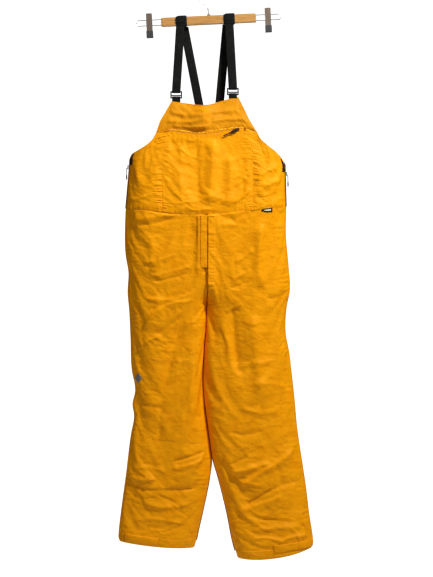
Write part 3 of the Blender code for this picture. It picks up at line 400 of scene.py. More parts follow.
def fold_height(x, z, folds, tight=1.0):
    """Adds up the folds' heights, in metres, at each (x, z). tight narrows them."""
    total = np.zeros(np.shape(x))
    for path, height, near, far in folds:
        line = smooth_curve(np.array(path) / 1000)(np.linspace(0, 1, FOLD_STEPS))
        sharpness = RIDGE_SHARPNESS if height > 0 else VALLEY_SHARPNESS
        best = np.full(np.shape(x), np.inf)
        value = np.zeros(np.shape(x))
        for i, (a, b) in enumerate(zip(line, line[1:])):
            d = b - a
            t = np.clip(((x - a[0]) * d[0] + (z - a[1]) * d[1]) / (d @ d), 0, 1)
            off_x, off_z = x - a[0] - t * d[0], z - a[1] - t * d[1]
            gap = np.hypot(off_x, off_z)
            side = off_z - 0.35 * off_x
            width = np.where(side > 0, near, far) * MM * tight
            along = (i + t) / (len(line) - 1)
            ends = smooth_step(0, FOLD_FADE, along) * smooth_step(1, 1 - FOLD_FADE, along)
            made = FOLD_SCALE * height * MM * ends * np.exp(-((gap / width) ** sharpness))
            value = np.where(gap < best, made, value)
            best = np.minimum(best, gap)
        total += value
    return total


# ---- The garment's surface -------------------------------------------------------------
def torso_depth(x, z):
    """Half depth of the torso: flat in the middle and nothing at the side seams."""
    reach = np.where(np.asarray(x) < 0, falling(SIDE_REACH["right"], z), falling(SIDE_REACH["left"], z))
    share = np.clip(np.abs(x) / reach, 0, 1)
    fall = np.clip((share - FLAT_SHARE) / (1 - FLAT_SHARE), 0, None) ** TORSO_SQUARENESS
    return falling(TORSO_DEPTH, z) * (1 - fall)


def leg_depth(x, z, across):
    """Half depth of a leg: part of the torso above the crotch, and a flattened tube below it."""
    squareness = np.where(across > 0, INNER_SQUARENESS, OUTER_SQUARENESS)
    tube_depth = falling(LEG_DEPTH, z) * (1 - np.abs(across) ** squareness)
    share = smooth_step(RISE_TOP, RISE_LOW, z)
    return torso_depth(x, z) * (1 - share) + tube_depth * share


def skin(depth, out, facing):
    """y of the cloth's outer face. It closes to nothing where the depth does."""
    lift = SKIN * np.clip(depth / (6 * MM), 0, 1) + out * np.clip(depth / (4 * MM), 0, 1)
    return facing * np.maximum(depth + lift, 0)


def crinkle(x, z, seed):
    """Creasing of stiff coated cloth: ridged noise, mostly running across the body."""
    bend = 0.02 * wobble(x, z, 0.09, seed)
    broad = wobble(x * 0.7 + bend, z, 0.085, seed + 21)
    ridged = 1 - 2 * np.abs(wobble(x * 0.5 + bend, z + bend, 0.036, seed + 7))
    fine = 1 - 2 * np.abs(wobble(x * 0.75, z + 0.3 * x, 0.017, seed + 13))
    patchy = 0.5 + 0.5 * wobble(x, z, 0.10, seed + 3)
    return (CRINKLE_BROAD * broad + CRINKLE_RIDGED * ridged * patchy + CRINKLE_FINE * fine * patchy) * MM


def pucker(along, away, pitch, reach, seed):
    """Gathers of a seam: short waves along it that die away from it."""
    waves = np.sin(along / pitch * 6.283 + 2.2 * np.sin(along / pitch * 1.9 + seed))
    waves += 0.6 * np.sin(along / pitch * 10.7 + seed * 3)
    strength = 0.6 + 0.4 * np.sin(along * 37 + seed)
    return PUCKER_HEIGHT * strength * waves * np.exp(-away / reach) * (1 - np.exp(-away / (3 * MM)))


def seam_dip(away):
    """How far the cloth is drawn in at a seam."""
    return SEAM_DIP * np.exp(-away / (2.5 * MM))


def density(count, ends=0.5):
    """0 to 1 in count steps, closer together at both ends."""
    even = np.linspace(0, 1, count + 1)
    return even * (1 - ends) + (0.5 - 0.5 * np.cos(np.pi * even)) * ends


def grid_mesh(name, points, facing):
    """A quad sheet from rows of points. Its front faces -Y when facing is -1."""
    rows, columns = points.shape[:2]
    order = np.arange(rows * columns).reshape(rows, columns)
    a, b, c, d = order[:-1, :-1], order[:-1, 1:], order[1:, 1:], order[1:, :-1]
    faces = np.stack([a, d, c, b] if facing < 0 else [a, b, c, d], axis=-1).reshape(-1, 4)
    mesh = bpy.data.meshes.new(name)
    mesh.from_pydata(points.reshape(-1, 3).tolist(), [], faces.tolist())
    mesh.shade_smooth()
    return link(name, mesh)


def link(name, data):
    obj = bpy.data.objects.new(name, data)
    bpy.context.scene.collection.objects.link(obj)
    return obj


def coons(top, bottom, first, last, columns, rows):
    """x, z and both shares of a grid between four boundary paths, left to right and downwards."""
    u, v = density(columns), density(rows)
    top, bottom = smooth_curve(top)(u), smooth_curve(bottom)(u)
    first, last = smooth_curve(first)(v), smooth_curve(last)(v)
    uu, vv = u[None, :, None], v[:, None, None]
    grid = top[None] * (1 - vv) + bottom[None] * vv + first[:, None] * (1 - uu) + last[:, None] * uu
    high = (top[0] * (1 - uu) + top[-1] * uu) * (1 - vv)
    low = (bottom[0] * (1 - uu) + bottom[-1] * uu) * vv
    grid = grid - high - low
    return grid[..., 0], grid[..., 1], u, v


def edge_gap(u, v, width, height, sides):
    """Distance to the nearest of the named edges of a panel, and the distance along that edge."""
    uu, vv = np.meshgrid(u * width, v * height)
    options = {"first": (uu, vv), "last": (width - uu, vv), "top": (vv, uu), "bottom": (height - vv, uu)}
    away, along = np.full(uu.shape, 1e3), np.zeros(uu.shape)
    for side in sides:
        gap, run = options[side]
        along = np.where(gap < away, run, along)
        away = np.minimum(away, gap)
    return away, along


def torso_panel(name, grid, facing, seams, seed):
    """One cloth panel of the torso. seams names its sewn edges, which dip and gather."""
    x, z, u, v = grid
    width, height = float(np.ptp(x)), float(np.ptp(z))
    away, along = edge_gap(u, v, width, height, seams)
    rim, _ = edge_gap(u, v, width, height, ["first", "last", "top", "bottom"])
    out = fold_height(x, z, FRONT_FOLDS if facing < 0 else BACK_FOLDS) + crinkle(x, z, seed)
    out = out * (1 - np.exp(-((rim / CALM_RIM) ** 2))) + fold_height(x, z, EDGE_WAVES) * (facing < 0)
    out += GATHERS.get(name, PLAIN_GATHERS) * pucker(along, away, 11 * MM, 19 * MM, seed) - seam_dip(away)
    y = skin(torso_depth(x, z), out, facing)
    return grid_mesh(name, np.stack([x, y, z], axis=-1), facing)


WAIST_AT = np.array(smooth_curve(WAIST)(np.linspace(0, 1, 121)))


def leg_outline(side, facing, across, down):
    """x and z of a leg's cloth: its top follows the waist seam and its cuff sags with round corners."""
    outer, inner = smooth_curve(OUTER[side])(down), smooth_curve(INNER[side])(down)
    x = outer[..., 0] * (1 - across) + inner[..., 0] * across
    z = outer[..., 1] * (1 - across) + inner[..., 1] * across
    if facing < 0:
        at_fly = smooth_step(FLY_END_Z - 12 * MM, FLY_END_Z + 6 * MM, z)
        x = x + SIGN[side] * FLY_GAP[side] * across * at_fly
    to_waist = np.interp(x, WAIST_AT[:, 0], WAIST_AT[:, 1]) - z
    z = z + to_waist * np.exp(-((down / 0.03) ** 2)) * (down < 0.1)
    corner = np.clip(CUFF_CORNER - np.minimum(across, 1 - across) * LEG_WIDTH, 0, None)
    rounding = CUFF_CORNER - np.sqrt(CUFF_CORNER**2 - corner**2)
    z = z + rounding * down**30 - HEM_SAG[side] * np.sin(np.pi * across) * down**6
    return x, z


def fly_relief(x, z, down):
    """The left front's edge stands up beside the fly, and is gathered across."""
    edge_rise = np.exp(-((np.clip(x, 0, None) / 0.024) ** 2)) * smooth_step(RISE_LOW, RISE_TOP, z)
    beside_fly = smooth_step(4 * MM, 9 * MM, x) * smooth_step(29 * MM, 23 * MM, x) * (z > RISE_LOW)
    gathers = np.sin(z * 640 + 1.5 * np.sin(z * 60)) * (0.45 + 0.55 * np.sin(z * 75 + 0.9))
    return (
        FLY_LIP * edge_rise * (1 - np.exp(-down / 0.008)),
        FLY_GATHERS * gathers * beside_fly * (1 - np.exp(-down / 0.01)),
    )


def leg_points(side, facing, across, down):
    """(x, y, z) of a leg's cloth for arrays of shares across, from the outer seam, and down."""
    x, z = leg_outline(side, facing, across, down)
    depth = leg_depth(x, z, 2 * across - 1)
    seed = 31 + 5 * SIGN[side] + 11 * facing
    edge = np.minimum(across, 1 - across) * LEG_WIDTH
    waist = down * LEG_LENGTH
    hem = (1 - down) * LEG_LENGTH
    out = fold_height(x, z, FRONT_FOLDS if facing < 0 else BACK_FOLDS, LEG_FOLD_TIGHT) + crinkle(x, z, seed)
    for gap in (edge, waist, hem):
        out *= 1 - np.exp(-((gap / CALM_RIM) ** 2))
    out += pucker(down, edge, 21 * MM, 20 * MM, seed)
    out += pucker(across * LEG_WIDTH, waist, 13 * MM, 15 * MM, seed + 1) - seam_dip(waist)
    out += CUFF_WAVE * np.sin(across * 9 + seed) * np.exp(-hem / 0.06)
    out -= WAIST_TUCK * np.exp(-down / 0.003)
    z = z + WAIST_OVERLAP * np.exp(-((down / 0.004) ** 2))
    if side == "left" and facing < 0:
        for relief in fly_relief(x, z, down):
            out += relief
    out -= SEAT_SEAM * np.exp(-np.abs(x) / (2.4 * MM)) * (z > CROTCH_Z) * (facing > 0)
    return np.stack([x, skin(depth, out, facing), z], axis=-1)


def leg_panel(side, facing, name):
    across, down = np.meshgrid(density(LEG_COLUMNS), np.linspace(0, 1, LEG_ROWS + 1))
    points = leg_points(side, facing, across, down)
    if side == "left":
        points = np.flip(points, axis=1)
    return grid_mesh(name, points, facing)


def side_panel(side):
    """The panel from the princess seam to the side seam, under the armhole."""
    across, foot = PRINCESS[side][0][0], PRINCESS[side][-1][0]
    if side == "right":
        zip_end = dense(ZIP_LINE, -1, across)[::-1]
        bottom = dense(WAIST, -1, foot)[::-1]
    else:
        zip_end = dense(ZIP_LINE, across, 1)
        bottom = dense(WAIST, foot, 1)
    top = [*zip_end, *dense(ARMHOLE[side])[1:]]
    outer = [ARMHOLE[side][-1], OUTER[side][0]]
    x, z, u, v = coons(top, bottom, dense(PRINCESS[side]), outer, 44, 116)
    if side == "right":
        x, z, u = np.flip(x, axis=1), np.flip(z, axis=1), 1 - np.flip(u)
    seams = ["bottom", "last" if side == "right" else "first"]
    return torso_panel(f"side_cloth_{side}", (x, z, u, v), -1, seams, 9 + SIGN[side])


def chest_grid():
    """The chest panel's grid, from the zip's slot to the waist between the princess seams."""
    tops = {side: PRINCESS[side][0][0] for side in SIGN}
    feet = {side: PRINCESS[side][-1][0] for side in SIGN}
    zip_low = [(x, z - ZIP_ROOM) for x, z in dense(ZIP_LINE, tops["right"], tops["left"])]
    seam = {side: [zip_low[0 if side == "right" else -1], *dense(PRINCESS[side])[6:]] for side in SIGN}
    waist = dense(WAIST, feet["right"], feet["left"])
    return coons(zip_low, waist, seam["right"], seam["left"], 84, 112)


def back_grid():
    """The back panel's grid. Its sides run straight from the armholes to the waist."""
    sides = {}
    for side in SIGN:
        top, bottom = np.array(BACK_ARMHOLE[side][-1]), np.array(OUTER[side][0])
        straight = [tuple(top + (bottom - top) * k / 12) for k in range(1, 13)]
        sides[side] = [*dense(BACK_ARMHOLE[side]), *straight]
    return coons(BACK_TOP, WAIST, sides["right"], sides["left"], 120, 84)


def garment_panels():
    """Every main panel, by the CAD node that it stands for."""
    made = {}
    yoke = coons(TOP_EDGE, dense(ZIP_LINE), dense(YOKE_SIDE["right"]), dense(YOKE_SIDE["left"]), 84, 30)
    made["bib_yoke"] = torso_panel("bib_yoke_cloth", yoke, -1, ["bottom"], 3)
    seams = ["top", "bottom", "first", "last"]
    made["chest_panel"] = torso_panel("chest_cloth", chest_grid(), -1, seams, 5)
    for side in SIGN:
        made[f"side_panel_{side}"] = side_panel(side)
    made["back_panel"] = torso_panel("back_cloth", back_grid(), 1, ["bottom"], 15)
    for side in SIGN:
        made[f"leg_front_{side}"] = leg_panel(side, -1, f"front_leg_{side}")
        made[f"leg_back_{side}"] = leg_panel(side, 1, f"back_leg_{side}")
    return made


# ---- Letting the cloth crumple ---------------------------------------------------------
def coordinates_of(mesh):
    values = np.empty(len(mesh.vertices) * 3)
    mesh.vertices.foreach_get("co", values)
    return values.reshape(-1, 3)


def set_coordinates(mesh, values):
    mesh.vertices.foreach_set("co", np.ravel(values))
    mesh.update()


def sew_and_cut(obj, start):
    """Holds a panel's sewn edges, and gives it a rest shape that is too long for its frame."""
    rim = {v for e in rim_edges(obj.data) for v in e}
    above_hem = np.abs(start[:, 2] - start[:, 2].min())
    held = [
        i for i in range(len(start))
        if i in rim or above_hem[i] < HELD_HEM or abs(start[i, 1]) < HELD_DEPTH
    ]
    obj.vertex_groups.new(name="held").add(held, 1.0, "REPLACE")
    obj.shape_key_add(name="placed")
    cut = obj.shape_key_add(name="cut")
    cut.data.foreach_set("co", np.ravel(start * (1 + EXTRA_WIDTH, 1.0, 1 + EXTRA_LENGTH)))
    return cut


def make_cloth(obj, cut):
    """Adds the cloth modifier that lets a panel settle into its rest shape."""
    cloth = obj.modifiers.new("cloth", "CLOTH")
    settings = cloth.settings
    for name, value in CLOTH_SETTINGS.items():
        setattr(settings, name, value)
    settings.vertex_group_mass = "held"
    settings.rest_shape_key = cut
    settings.effector_weights.gravity = 0.15
    cloth.point_cache.frame_end = CRUMPLE_FRAMES


def crumple(panels):
    """Every panel is cut a little too long for its frame and its edges are sewn down, so it buckles."""
    scene = bpy.context.scene
    starts = {name: coordinates_of(obj.data) for name, obj in panels.items()}
    for name, obj in panels.items():
        make_cloth(obj, sew_and_cut(obj, starts[name]))
    for number in range(1, CRUMPLE_FRAMES + 1):
        scene.frame_set(number)
    graph = bpy.context.evaluated_depsgraph_get()
    ends = {name: coordinates_of(obj.evaluated_get(graph).data) for name, obj in panels.items()}
    scene.frame_set(1)
    for name, obj in panels.items():
        facing = 1 if "back" in name else -1
        obj.modifiers.remove(obj.modifiers["cloth"])
        obj.shape_key_clear()
        obj.vertex_groups.clear()
        move = ends[name] - starts[name]
        far = np.linalg.norm(move, axis=1)[:, None]
        move *= MOST_MOVED * np.tanh(far / MOST_MOVED) / np.maximum(far, 1e-9)
        end = starts[name] + move
        end[:, 1] = facing * np.maximum(facing * end[:, 1], facing * starts[name][:, 1] * LEAST_DEPTH)
        set_coordinates(obj.data, end)


def rim_edges(mesh):
    """The edges on a mesh's rim, as pairs of vertices."""
    uses = {}
    for face in mesh.polygons:
        for key in face.edge_keys:
            uses[key] = uses.get(key, 0) + 1
    return [key for key, count in uses.items() if count == 1]


def thicken(obj, thickness, offset=-1):
    solid = obj.modifiers.new("thickness", "SOLIDIFY")
    solid.thickness = thickness
    solid.offset = offset
    return obj


# ---- Materials -------------------------------------------------------------------------
# Light, middle and dark tones of the cloths.
SHELL_TONES = ((0.92, 0.395, 0.003), (0.90, 0.370, 0.002), (0.85, 0.330, 0.001))
# The yoke's tones are the shell's made about 15% darker: painted shade, for a yoke that faces the key light
# more than the chest does.
YOKE_SHADED_TONES = ((0.78, 0.335, 0.008), (0.74, 0.305, 0.006), (0.68, 0.270, 0.004))
# Painted shade: a dark copy of the shell cloth's tones, for the groove between the legs.
INSEAM_SHADE_TONES = ((0.34, 0.085, 0.001), (0.28, 0.065, 0.001), (0.22, 0.045, 0.001))


def new_material(name, colour, roughness, metallic=0.0):
    made = bpy.data.materials.new(name)
    made.use_nodes = True
    shader = made.node_tree.nodes["Principled BSDF"]
    shader.inputs["Base Color"].default_value = (*colour, 1)
    shader.inputs["Roughness"].default_value = roughness
    shader.inputs["Metallic"].default_value = metallic
    return made, made.node_tree.nodes, made.node_tree.links, shader


def coordinates(nodes, links, scale=(1, 1, 1), turn=(0, 0, 0), kind="Object"):
    source = nodes.new("ShaderNodeTexCoord")
    mapping = nodes.new("ShaderNodeMapping")
    mapping.inputs["Scale"].default_value = scale
    mapping.inputs["Rotation"].default_value = turn
    links.new(source.outputs[kind], mapping.inputs["Vector"])
    return mapping.outputs["Vector"]


def noise_node(nodes, links, vector, scale, detail=4, roughness=0.55):
    made = nodes.new("ShaderNodeTexNoise")
    made.inputs["Scale"].default_value = scale
    made.inputs["Detail"].default_value = detail
    made.inputs["Roughness"].default_value = roughness
    links.new(vector, made.inputs["Vector"])
    return made.outputs["Fac"]


def wave_node(nodes, links, vector, scale, direction, distortion=0.0):
    made = nodes.new("ShaderNodeTexWave")
    made.bands_direction = direction
    made.inputs["Scale"].default_value = scale
    made.inputs["Distortion"].default_value = distortion
    made.inputs["Detail"].default_value = 1
    links.new(vector, made.inputs["Vector"])
    return made.outputs["Fac"]


def colour_ramp(nodes, links, value, stops):
    made = nodes.new("ShaderNodeValToRGB")
    for stop, (place, colour) in zip(made.color_ramp.elements, stops):
        stop.position = place
        stop.color = (*colour, 1)
    for place, colour in stops[2:]:
        made.color_ramp.elements.new(place).color = (*colour, 1)
    links.new(value, made.inputs["Fac"])
    return made.outputs["Color"]


def bump(nodes, links, shader, layers):
    """Chains bump nodes. layers holds (height, strength, distance in metres)."""
    normal = None
    for height, strength, distance in layers:
        made = nodes.new("ShaderNodeBump")
        made.inputs["Strength"].default_value = strength
        made.inputs["Distance"].default_value = distance
        links.new(height, made.inputs["Height"])
        if normal:
            links.new(normal, made.inputs["Normal"])
        normal = made.outputs["Normal"]
    links.new(normal, shader.inputs["Normal"])


def shell_cloth(name, light, mid, dark, roughness=0.5):
    """Coated nylon: a fine plain weave, a mottled crush, and a soft sheen."""
    made, nodes, links, shader = new_material(name, mid, roughness)
    space = coordinates(nodes, links)
    mottle = noise_node(nodes, links, space, 38, 7, 0.62)
    tones = colour_ramp(nodes, links, mottle, [(0.30, dark), (0.70, light), (0.5, mid)])
    links.new(tones, shader.inputs["Base Color"])
    weft = wave_node(nodes, links, space, 330, "Z")
    warp = wave_node(nodes, links, space, 330, "X")
    crush = noise_node(nodes, links, coordinates(nodes, links, (0.7, 1, 1.25)), 75, 8, 0.6)
    creases = noise_node(nodes, links, coordinates(nodes, links, (0.5, 1, 1.2), (0, 0.5, 0)), 26, 5, 0.5)
    weave = [(weft, 0.10, 0.4 * MM), (warp, 0.10, 0.4 * MM)]
    bump(nodes, links, shader, [(creases, 0.55, 4 * MM), (crush, 0.90, 2.6 * MM), *weave])
    shine = nodes.new("ShaderNodeMapRange")
    shine.inputs["To Min"].default_value = roughness - 0.08
    shine.inputs["To Max"].default_value = roughness + 0.12
    links.new(mottle, shine.inputs["Value"])
    links.new(shine.outputs["Result"], shader.inputs["Roughness"])
    shader.inputs["Sheen Weight"].default_value = 0.02
    shader.inputs["Sheen Roughness"].default_value = 0.4
    shader.inputs["Sheen Tint"].default_value = (1.0, 0.75, 0.35, 1)
    shader.inputs["Specular IOR Level"].default_value = 0.12
    return made


def webbing_cloth(name, colour):
    """Ribbed elastic webbing. Its ribs run along the UV's second axis."""
    made, nodes, links, shader = new_material(name, colour, 0.7)
    uv = coordinates(nodes, links, kind="UV")
    ribs = wave_node(nodes, links, uv, 200, "X", 0.2)
    picks = wave_node(nodes, links, uv, 300, "Y", 0.4)
    wear = noise_node(nodes, links, coordinates(nodes, links), 60, 5)
    pale = tuple(c * 2.4 + 0.003 for c in colour)
    links.new(colour_ramp(nodes, links, wear, [(0.42, colour), (0.72, pale)]), shader.inputs["Base Color"])
    bump(nodes, links, shader, [(ribs, 0.7, 0.0007), (picks, 0.4, 0.0004)])
    shader.inputs["Sheen Weight"].default_value = 0.04
    shader.inputs["Specular IOR Level"].default_value = 0.25
    return made


def wood(name):
    """Varnished wood with grain along the bar."""
    made, nodes, links, shader = new_material(name, (0.6, 0.3, 0.08), 0.35)
    along = coordinates(nodes, links, (0.08, 1, 1), (0, HANGER_TILT, 0))
    grain = noise_node(nodes, links, along, 260, 6, 0.6)
    stops = [(0.25, (0.36, 0.16, 0.045)), (0.75, (0.64, 0.37, 0.135)), (0.5, (0.52, 0.28, 0.09))]
    tone = colour_ramp(nodes, links, grain, stops)
    links.new(tone, shader.inputs["Base Color"])
    bump(nodes, links, shader, [(grain, 0.15, 0.0005)])
    shader.inputs["Coat Weight"].default_value = 0.35
    shader.inputs["Coat Roughness"].default_value = 0.2
    return made


def metal(name, colour, roughness, brushed=0.0):
    made, nodes, links, shader = new_material(name, colour, roughness, 1.0)
    marks = noise_node(nodes, links, coordinates(nodes, links, (1, 1, 0.1)), 500, 5)
    dull = nodes.new("ShaderNodeMapRange")
    dull.inputs["To Min"].default_value = max(0.05, roughness - 0.1)
    dull.inputs["To Max"].default_value = roughness + 0.15
    links.new(marks, dull.inputs["Value"])
    links.new(dull.outputs["Result"], shader.inputs["Roughness"])
    bump(nodes, links, shader, [(marks, 0.05 + brushed, 0.0002)])
    return made


def moulded(name, colour, roughness, grain=700):
    made, nodes, links, shader = new_material(name, colour, roughness)
    speckle = noise_node(nodes, links, coordinates(nodes, links), grain, 3)
    pale = tuple(min(1, c * 1.8 + 0.01) for c in colour)
    tones = colour_ramp(nodes, links, speckle, [(0.45, colour), (0.8, pale)])
    links.new(tones, shader.inputs["Base Color"])
    bump(nodes, links, shader, [(speckle, 0.12, 0.0003)])
    return made


def make_materials():
    return {
        "shell_fabric": shell_cloth("shell_cloth", *SHELL_TONES),
        # Painted shade: the yoke's cloth is a darker copy of the shell cloth.
        "yoke_shaded_fabric": shell_cloth("yoke_cloth", *YOKE_SHADED_TONES),
        # Painted shade: a dark cloth for the inner leg seams, standing for the shade in the groove between
        # the legs.
        "inseam_painted_shade": shell_cloth("inseam_painted_shade", *INSEAM_SHADE_TONES, 0.7),
        "thread": moulded("thread", (0.80, 0.325, 0.004), 0.7, 2000),
        "webbing": webbing_cloth("brace_webbing", (0.0045, 0.0045, 0.0040)),
        "black_plastic": moulded("buckle_plastic", (0.005, 0.005, 0.0055), 0.42),
        "dark_zip": moulded("dark_zip", (0.026, 0.011, 0.007), 0.6),
        "yellow_zip": moulded("yellow_zip", (0.86, 0.42, 0.03), 0.4, 1500),
        "rubber_pull": moulded("pull_rubber", (0.026, 0.010, 0.007), 0.65),
        "label": webbing_cloth("label_weave", (0.020, 0.012, 0.014)),
        "label_stripe": moulded("label_stripe", (0.70, 0.66, 0.62), 0.6),
        "reflective": moulded("reflective_film", (0.20, 0.19, 0.18), 0.3, 1800),
        "hanger_wood": wood("bar_wood"),
        "chrome": metal("chrome_wire", (0.62, 0.60, 0.57), 0.2),
        "clip_steel": metal("clip_plate", (0.34, 0.27, 0.22), 0.42, 0.2),
        "vinyl": moulded("pad_vinyl", (0.05, 0.05, 0.052), 0.5, 900),
    }


def finish_piece(obj, slot, body, *nodes):
    """Gives a piece the material of a slot and a body, and hides the CAD nodes that it stands for."""
    obj.data.materials.clear()
    obj.data.materials.append(MATERIALS[slot])
    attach(obj, body)
    if nodes:
        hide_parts(*nodes)
    return obj


# ---- Camera, lights, floor -------------------------------------------------------------
VIEW_HEIGHT = 1.6733  # metres that the picture's longer side covers at the object
VIEW_X = 0.0275
VIEW_Z = -0.873
VIEW_DISTANCE = 4.5
WORLD_LIGHT = 0.11
FLOOR_GLOW = 0.55  # as the camera sees it
FLOOR_Z = -2.6
FLOOR_HALF = 4.5
# Square lights: name, place, size and power.
LIGHTS = (
    ("key", (1.28, -1.45, 1.40), 0.35, 83),
    ("fill", (-1.9, -3.0, 0.7), 1.4, 12),
    ("rear", (-1.5, 3.0, 0.8), 2.0, 130),
)
LIGHTS_AIM = Vector((0, 0, -0.9))


def camera_ray_value(nodes, links, other, seen):
    """A value for rays from the camera, and another for all other rays."""
    path = nodes.new("ShaderNodeLightPath")
    made = nodes.new("ShaderNodeMapRange")
    made.inputs["To Min"].default_value = other
    made.inputs["To Max"].default_value = seen
    links.new(path.outputs["Is Camera Ray"], made.inputs["Value"])
    return made.outputs["Result"]


def add_world(scene):
    """White where the camera sees it, and a weak even light on the object."""
    world = bpy.data.worlds.new("studio")
    scene.world = world
    world.use_nodes = True
    nodes, links = world.node_tree.nodes, world.node_tree.links
    background = nodes["Background"]
    background.inputs["Color"].default_value = (1, 1, 1, 1)
    links.new(camera_ray_value(nodes, links, WORLD_LIGHT, 1.0), background.inputs["Strength"])


def add_lights(scene):
    for name, place, size, power in LIGHTS:
        light = bpy.data.lights.new(name, "AREA")
        light.shape = "SQUARE"
        light.size = size
        light.energy = power
        obj = bpy.data.objects.new(name, light)
        obj.location = place
        obj.rotation_euler = (LIGHTS_AIM - Vector(place)).to_track_quat("-Z", "Y").to_euler()
        scene.collection.objects.link(obj)


def add_floor(scene):
    mesh = bpy.data.meshes.new("floor")
    corners = [(x * FLOOR_HALF, y * FLOOR_HALF, 0) for x, y in ((-1, -1), (1, -1), (1, 1), (-1, 1))]
    mesh.from_pydata(corners, [], [(0, 1, 2, 3)])
    floor = bpy.data.objects.new("floor", mesh)
    floor.location = (0, 0, FLOOR_Z)
    scene.collection.objects.link(floor)
    pale, nodes, links, shader = new_material("floor", (0.85, 0.85, 0.85), 0.8)
    shader.inputs["Emission Color"].default_value = (1, 1, 1, 1)
    links.new(camera_ray_value(nodes, links, 0.0, FLOOR_GLOW), shader.inputs["Emission Strength"])
    mesh.materials.append(pale)


def stage():
    scene = bpy.context.scene
    scene.view_settings.view_transform = "Standard"
    scene.view_settings.look = "Medium High Contrast"
    data = bpy.data.cameras.new("camera")
    data.sensor_width = 36
    data.lens = data.sensor_width * VIEW_DISTANCE / VIEW_HEIGHT
    camera = bpy.data.objects.new("camera", data)
    camera.location = (VIEW_X, -VIEW_DISTANCE, VIEW_Z)
    camera.rotation_euler = (math.radians(90), 0, 0)
    scene.collection.objects.link(camera)
    scene.camera = camera

    add_world(scene)
    add_lights(scene)
    add_floor(scene)


# ---- Finding the cloth's surface, for what is sewn on it -------------------------------
class Cloth:
    """The outer faces of the front or the back, to lay trims on."""

    def __init__(self, pieces, facing):
        self.facing = facing
        points, faces = [], []
        for piece in pieces:
            base = len(points)
            points += [tuple(v.co) for v in piece.data.vertices]
            faces += [[base + i for i in p.vertices] for p in piece.data.polygons]
        self.tree = BVHTree.FromPolygons(points, faces)

    def at(self, x, z):
        """The point on the surface and its outward normal."""
        start, inward = Vector((x, self.facing * 0.5, z)), Vector((0, -self.facing, 0))
        spot, normal, _, _ = self.tree.ray_cast(start, inward)
        if spot is None:
            spot, normal, _, _ = self.tree.find_nearest(Vector((x, self.facing * 0.02, z)))
        return spot, normal if normal.y * self.facing > 0 else -normal


def walk(path, pitch):
    """Points about a pitch apart along a smooth path."""
    curve = smooth_curve(path)
    fine = curve(np.linspace(0, 1, 200))
    length = float(np.linalg.norm(np.diff(fine, axis=0), axis=1).sum())
    return curve(np.linspace(0, 1, max(2, round(length / pitch) + 1)))


def beside(path, distance, start=0.0, end=1.0):
    """A stretch of a path moved sideways, to its left as it runs."""
    points = smooth_curve(path)(np.linspace(start, end, 30))
    run = np.gradient(points, axis=0)
    run /= np.linalg.norm(run, axis=1)[:, None]
    return [tuple(p + distance * np.array([-r[1], r[0]])) for p, r in zip(points, run)]


def mesh_piece(name, bm):
    bmesh.ops.recalc_face_normals(bm, faces=bm.faces)
    mesh = bpy.data.meshes.new(name)
    bm.to_mesh(mesh)
    bm.free()
    mesh.shade_smooth()
    mesh.set_sharp_from_angle(angle=math.radians(50))
    return link(name, mesh)


def stitching(name, cloth, paths, body, slot="thread"):
    """Rows of thread laid on the cloth: a short raised stitch at every pitch."""
    bm = bmesh.new()
    for path in paths:
        spots = walk(path, STITCH_PITCH)
        for (x0, z0), (x1, z1) in zip(spots, spots[1:]):
            start, up = cloth.at(x0 + (x1 - x0) * 0.12, z0 + (z1 - z0) * 0.12)
            end, _ = cloth.at(x0 + (x1 - x0) * 0.88, z0 + (z1 - z0) * 0.88)
            run = end - start
            if not 0.2 * STITCH_PITCH < run.length < 2 * STITCH_PITCH:
                continue
            across = run.cross(up).normalized() * THREAD / 2
            rings = []
            marks = ((start, 0.5, -0.4), (start.lerp(end, 0.5), 1.0, 0.5), (end, 0.5, -0.4))
            for point, wide, high in marks:
                base = point + up * high * THREAD
                peak = base + up * 0.45 * THREAD
                rings.append([bm.verts.new(v) for v in (base - across * wide, peak, base + across * wide)])
            for first, second in zip(rings, rings[1:]):
                for i in (0, 1):
                    bm.faces.new((first[i], first[i + 1], second[i + 1], second[i]))
    return finish_piece(mesh_piece(name, bm), slot, body)


def join_rings(bm, rings):
    """Faces between rings of points, row by row, and over both ends."""
    for first, second in zip(rings, rings[1:]):
        for k in range(len(first)):
            j = (k + 1) % len(first)
            bm.faces.new((first[k], first[j], second[j], second[k]))
    bm.faces.new(rings[0])
    bm.faces.new(rings[-1])


def tube(name, points, radius):
    """A round tube along 3-D points."""
    points = [Vector(p) for p in points]
    turns = [2 * math.pi * k / TUBE_SIDES for k in range(TUBE_SIDES)]
    bm = bmesh.new()
    rings = []
    for i, point in enumerate(points):
        before, after = points[max(0, i - 1)], points[min(len(points) - 1, i + 1)]
        run = (after - before).normalized()
        side = run.cross(Vector((0, 1, 0))).normalized()
        top = side.cross(run)
        ring = [point + radius * (side * math.cos(a) + top * math.sin(a)) for a in turns]
        rings.append([bm.verts.new(spot) for spot in ring])
    join_rings(bm, rings)
    return mesh_piece(name, bm)


def laid(name, cloth, x, z, lift, thickness, slot, body, *nodes, tuck=0.5 * MM):
    """A piece sewn flat on the cloth, from rows of x and z. Its rim is tucked in like a pressed edge."""
    rows, columns = x.shape
    points = np.empty((rows, columns, 3))
    for i in range(rows):
        for j in range(columns):
            spot, _ = cloth.at(x[i, j], z[i, j])
            rim = i in (0, rows - 1) or j in (0, columns - 1)
            rise = lift + thickness - (tuck if rim else 0)
            points[i, j] = (spot.x, spot.y + cloth.facing * rise, spot.z)
    obj = thicken(grid_mesh(name, points, cloth.facing), thickness)
    return finish_piece(obj, slot, body, *nodes)


def strip(path, width, pitch=4 * MM, columns=3):
    """Rows of x and z along a path, width across, for laid()."""
    middle = walk(path, pitch)
    run = np.gradient(middle, axis=0)
    run /= np.linalg.norm(run, axis=1)[:, None]
    across = np.stack([-run[:, 1], run[:, 0]], axis=1)
    shares = np.linspace(-0.5, 0.5, columns)
    grid = middle[:, None, :] + across[:, None, :] * shares[None, :, None] * width
    return grid[..., 0], grid[..., 1]


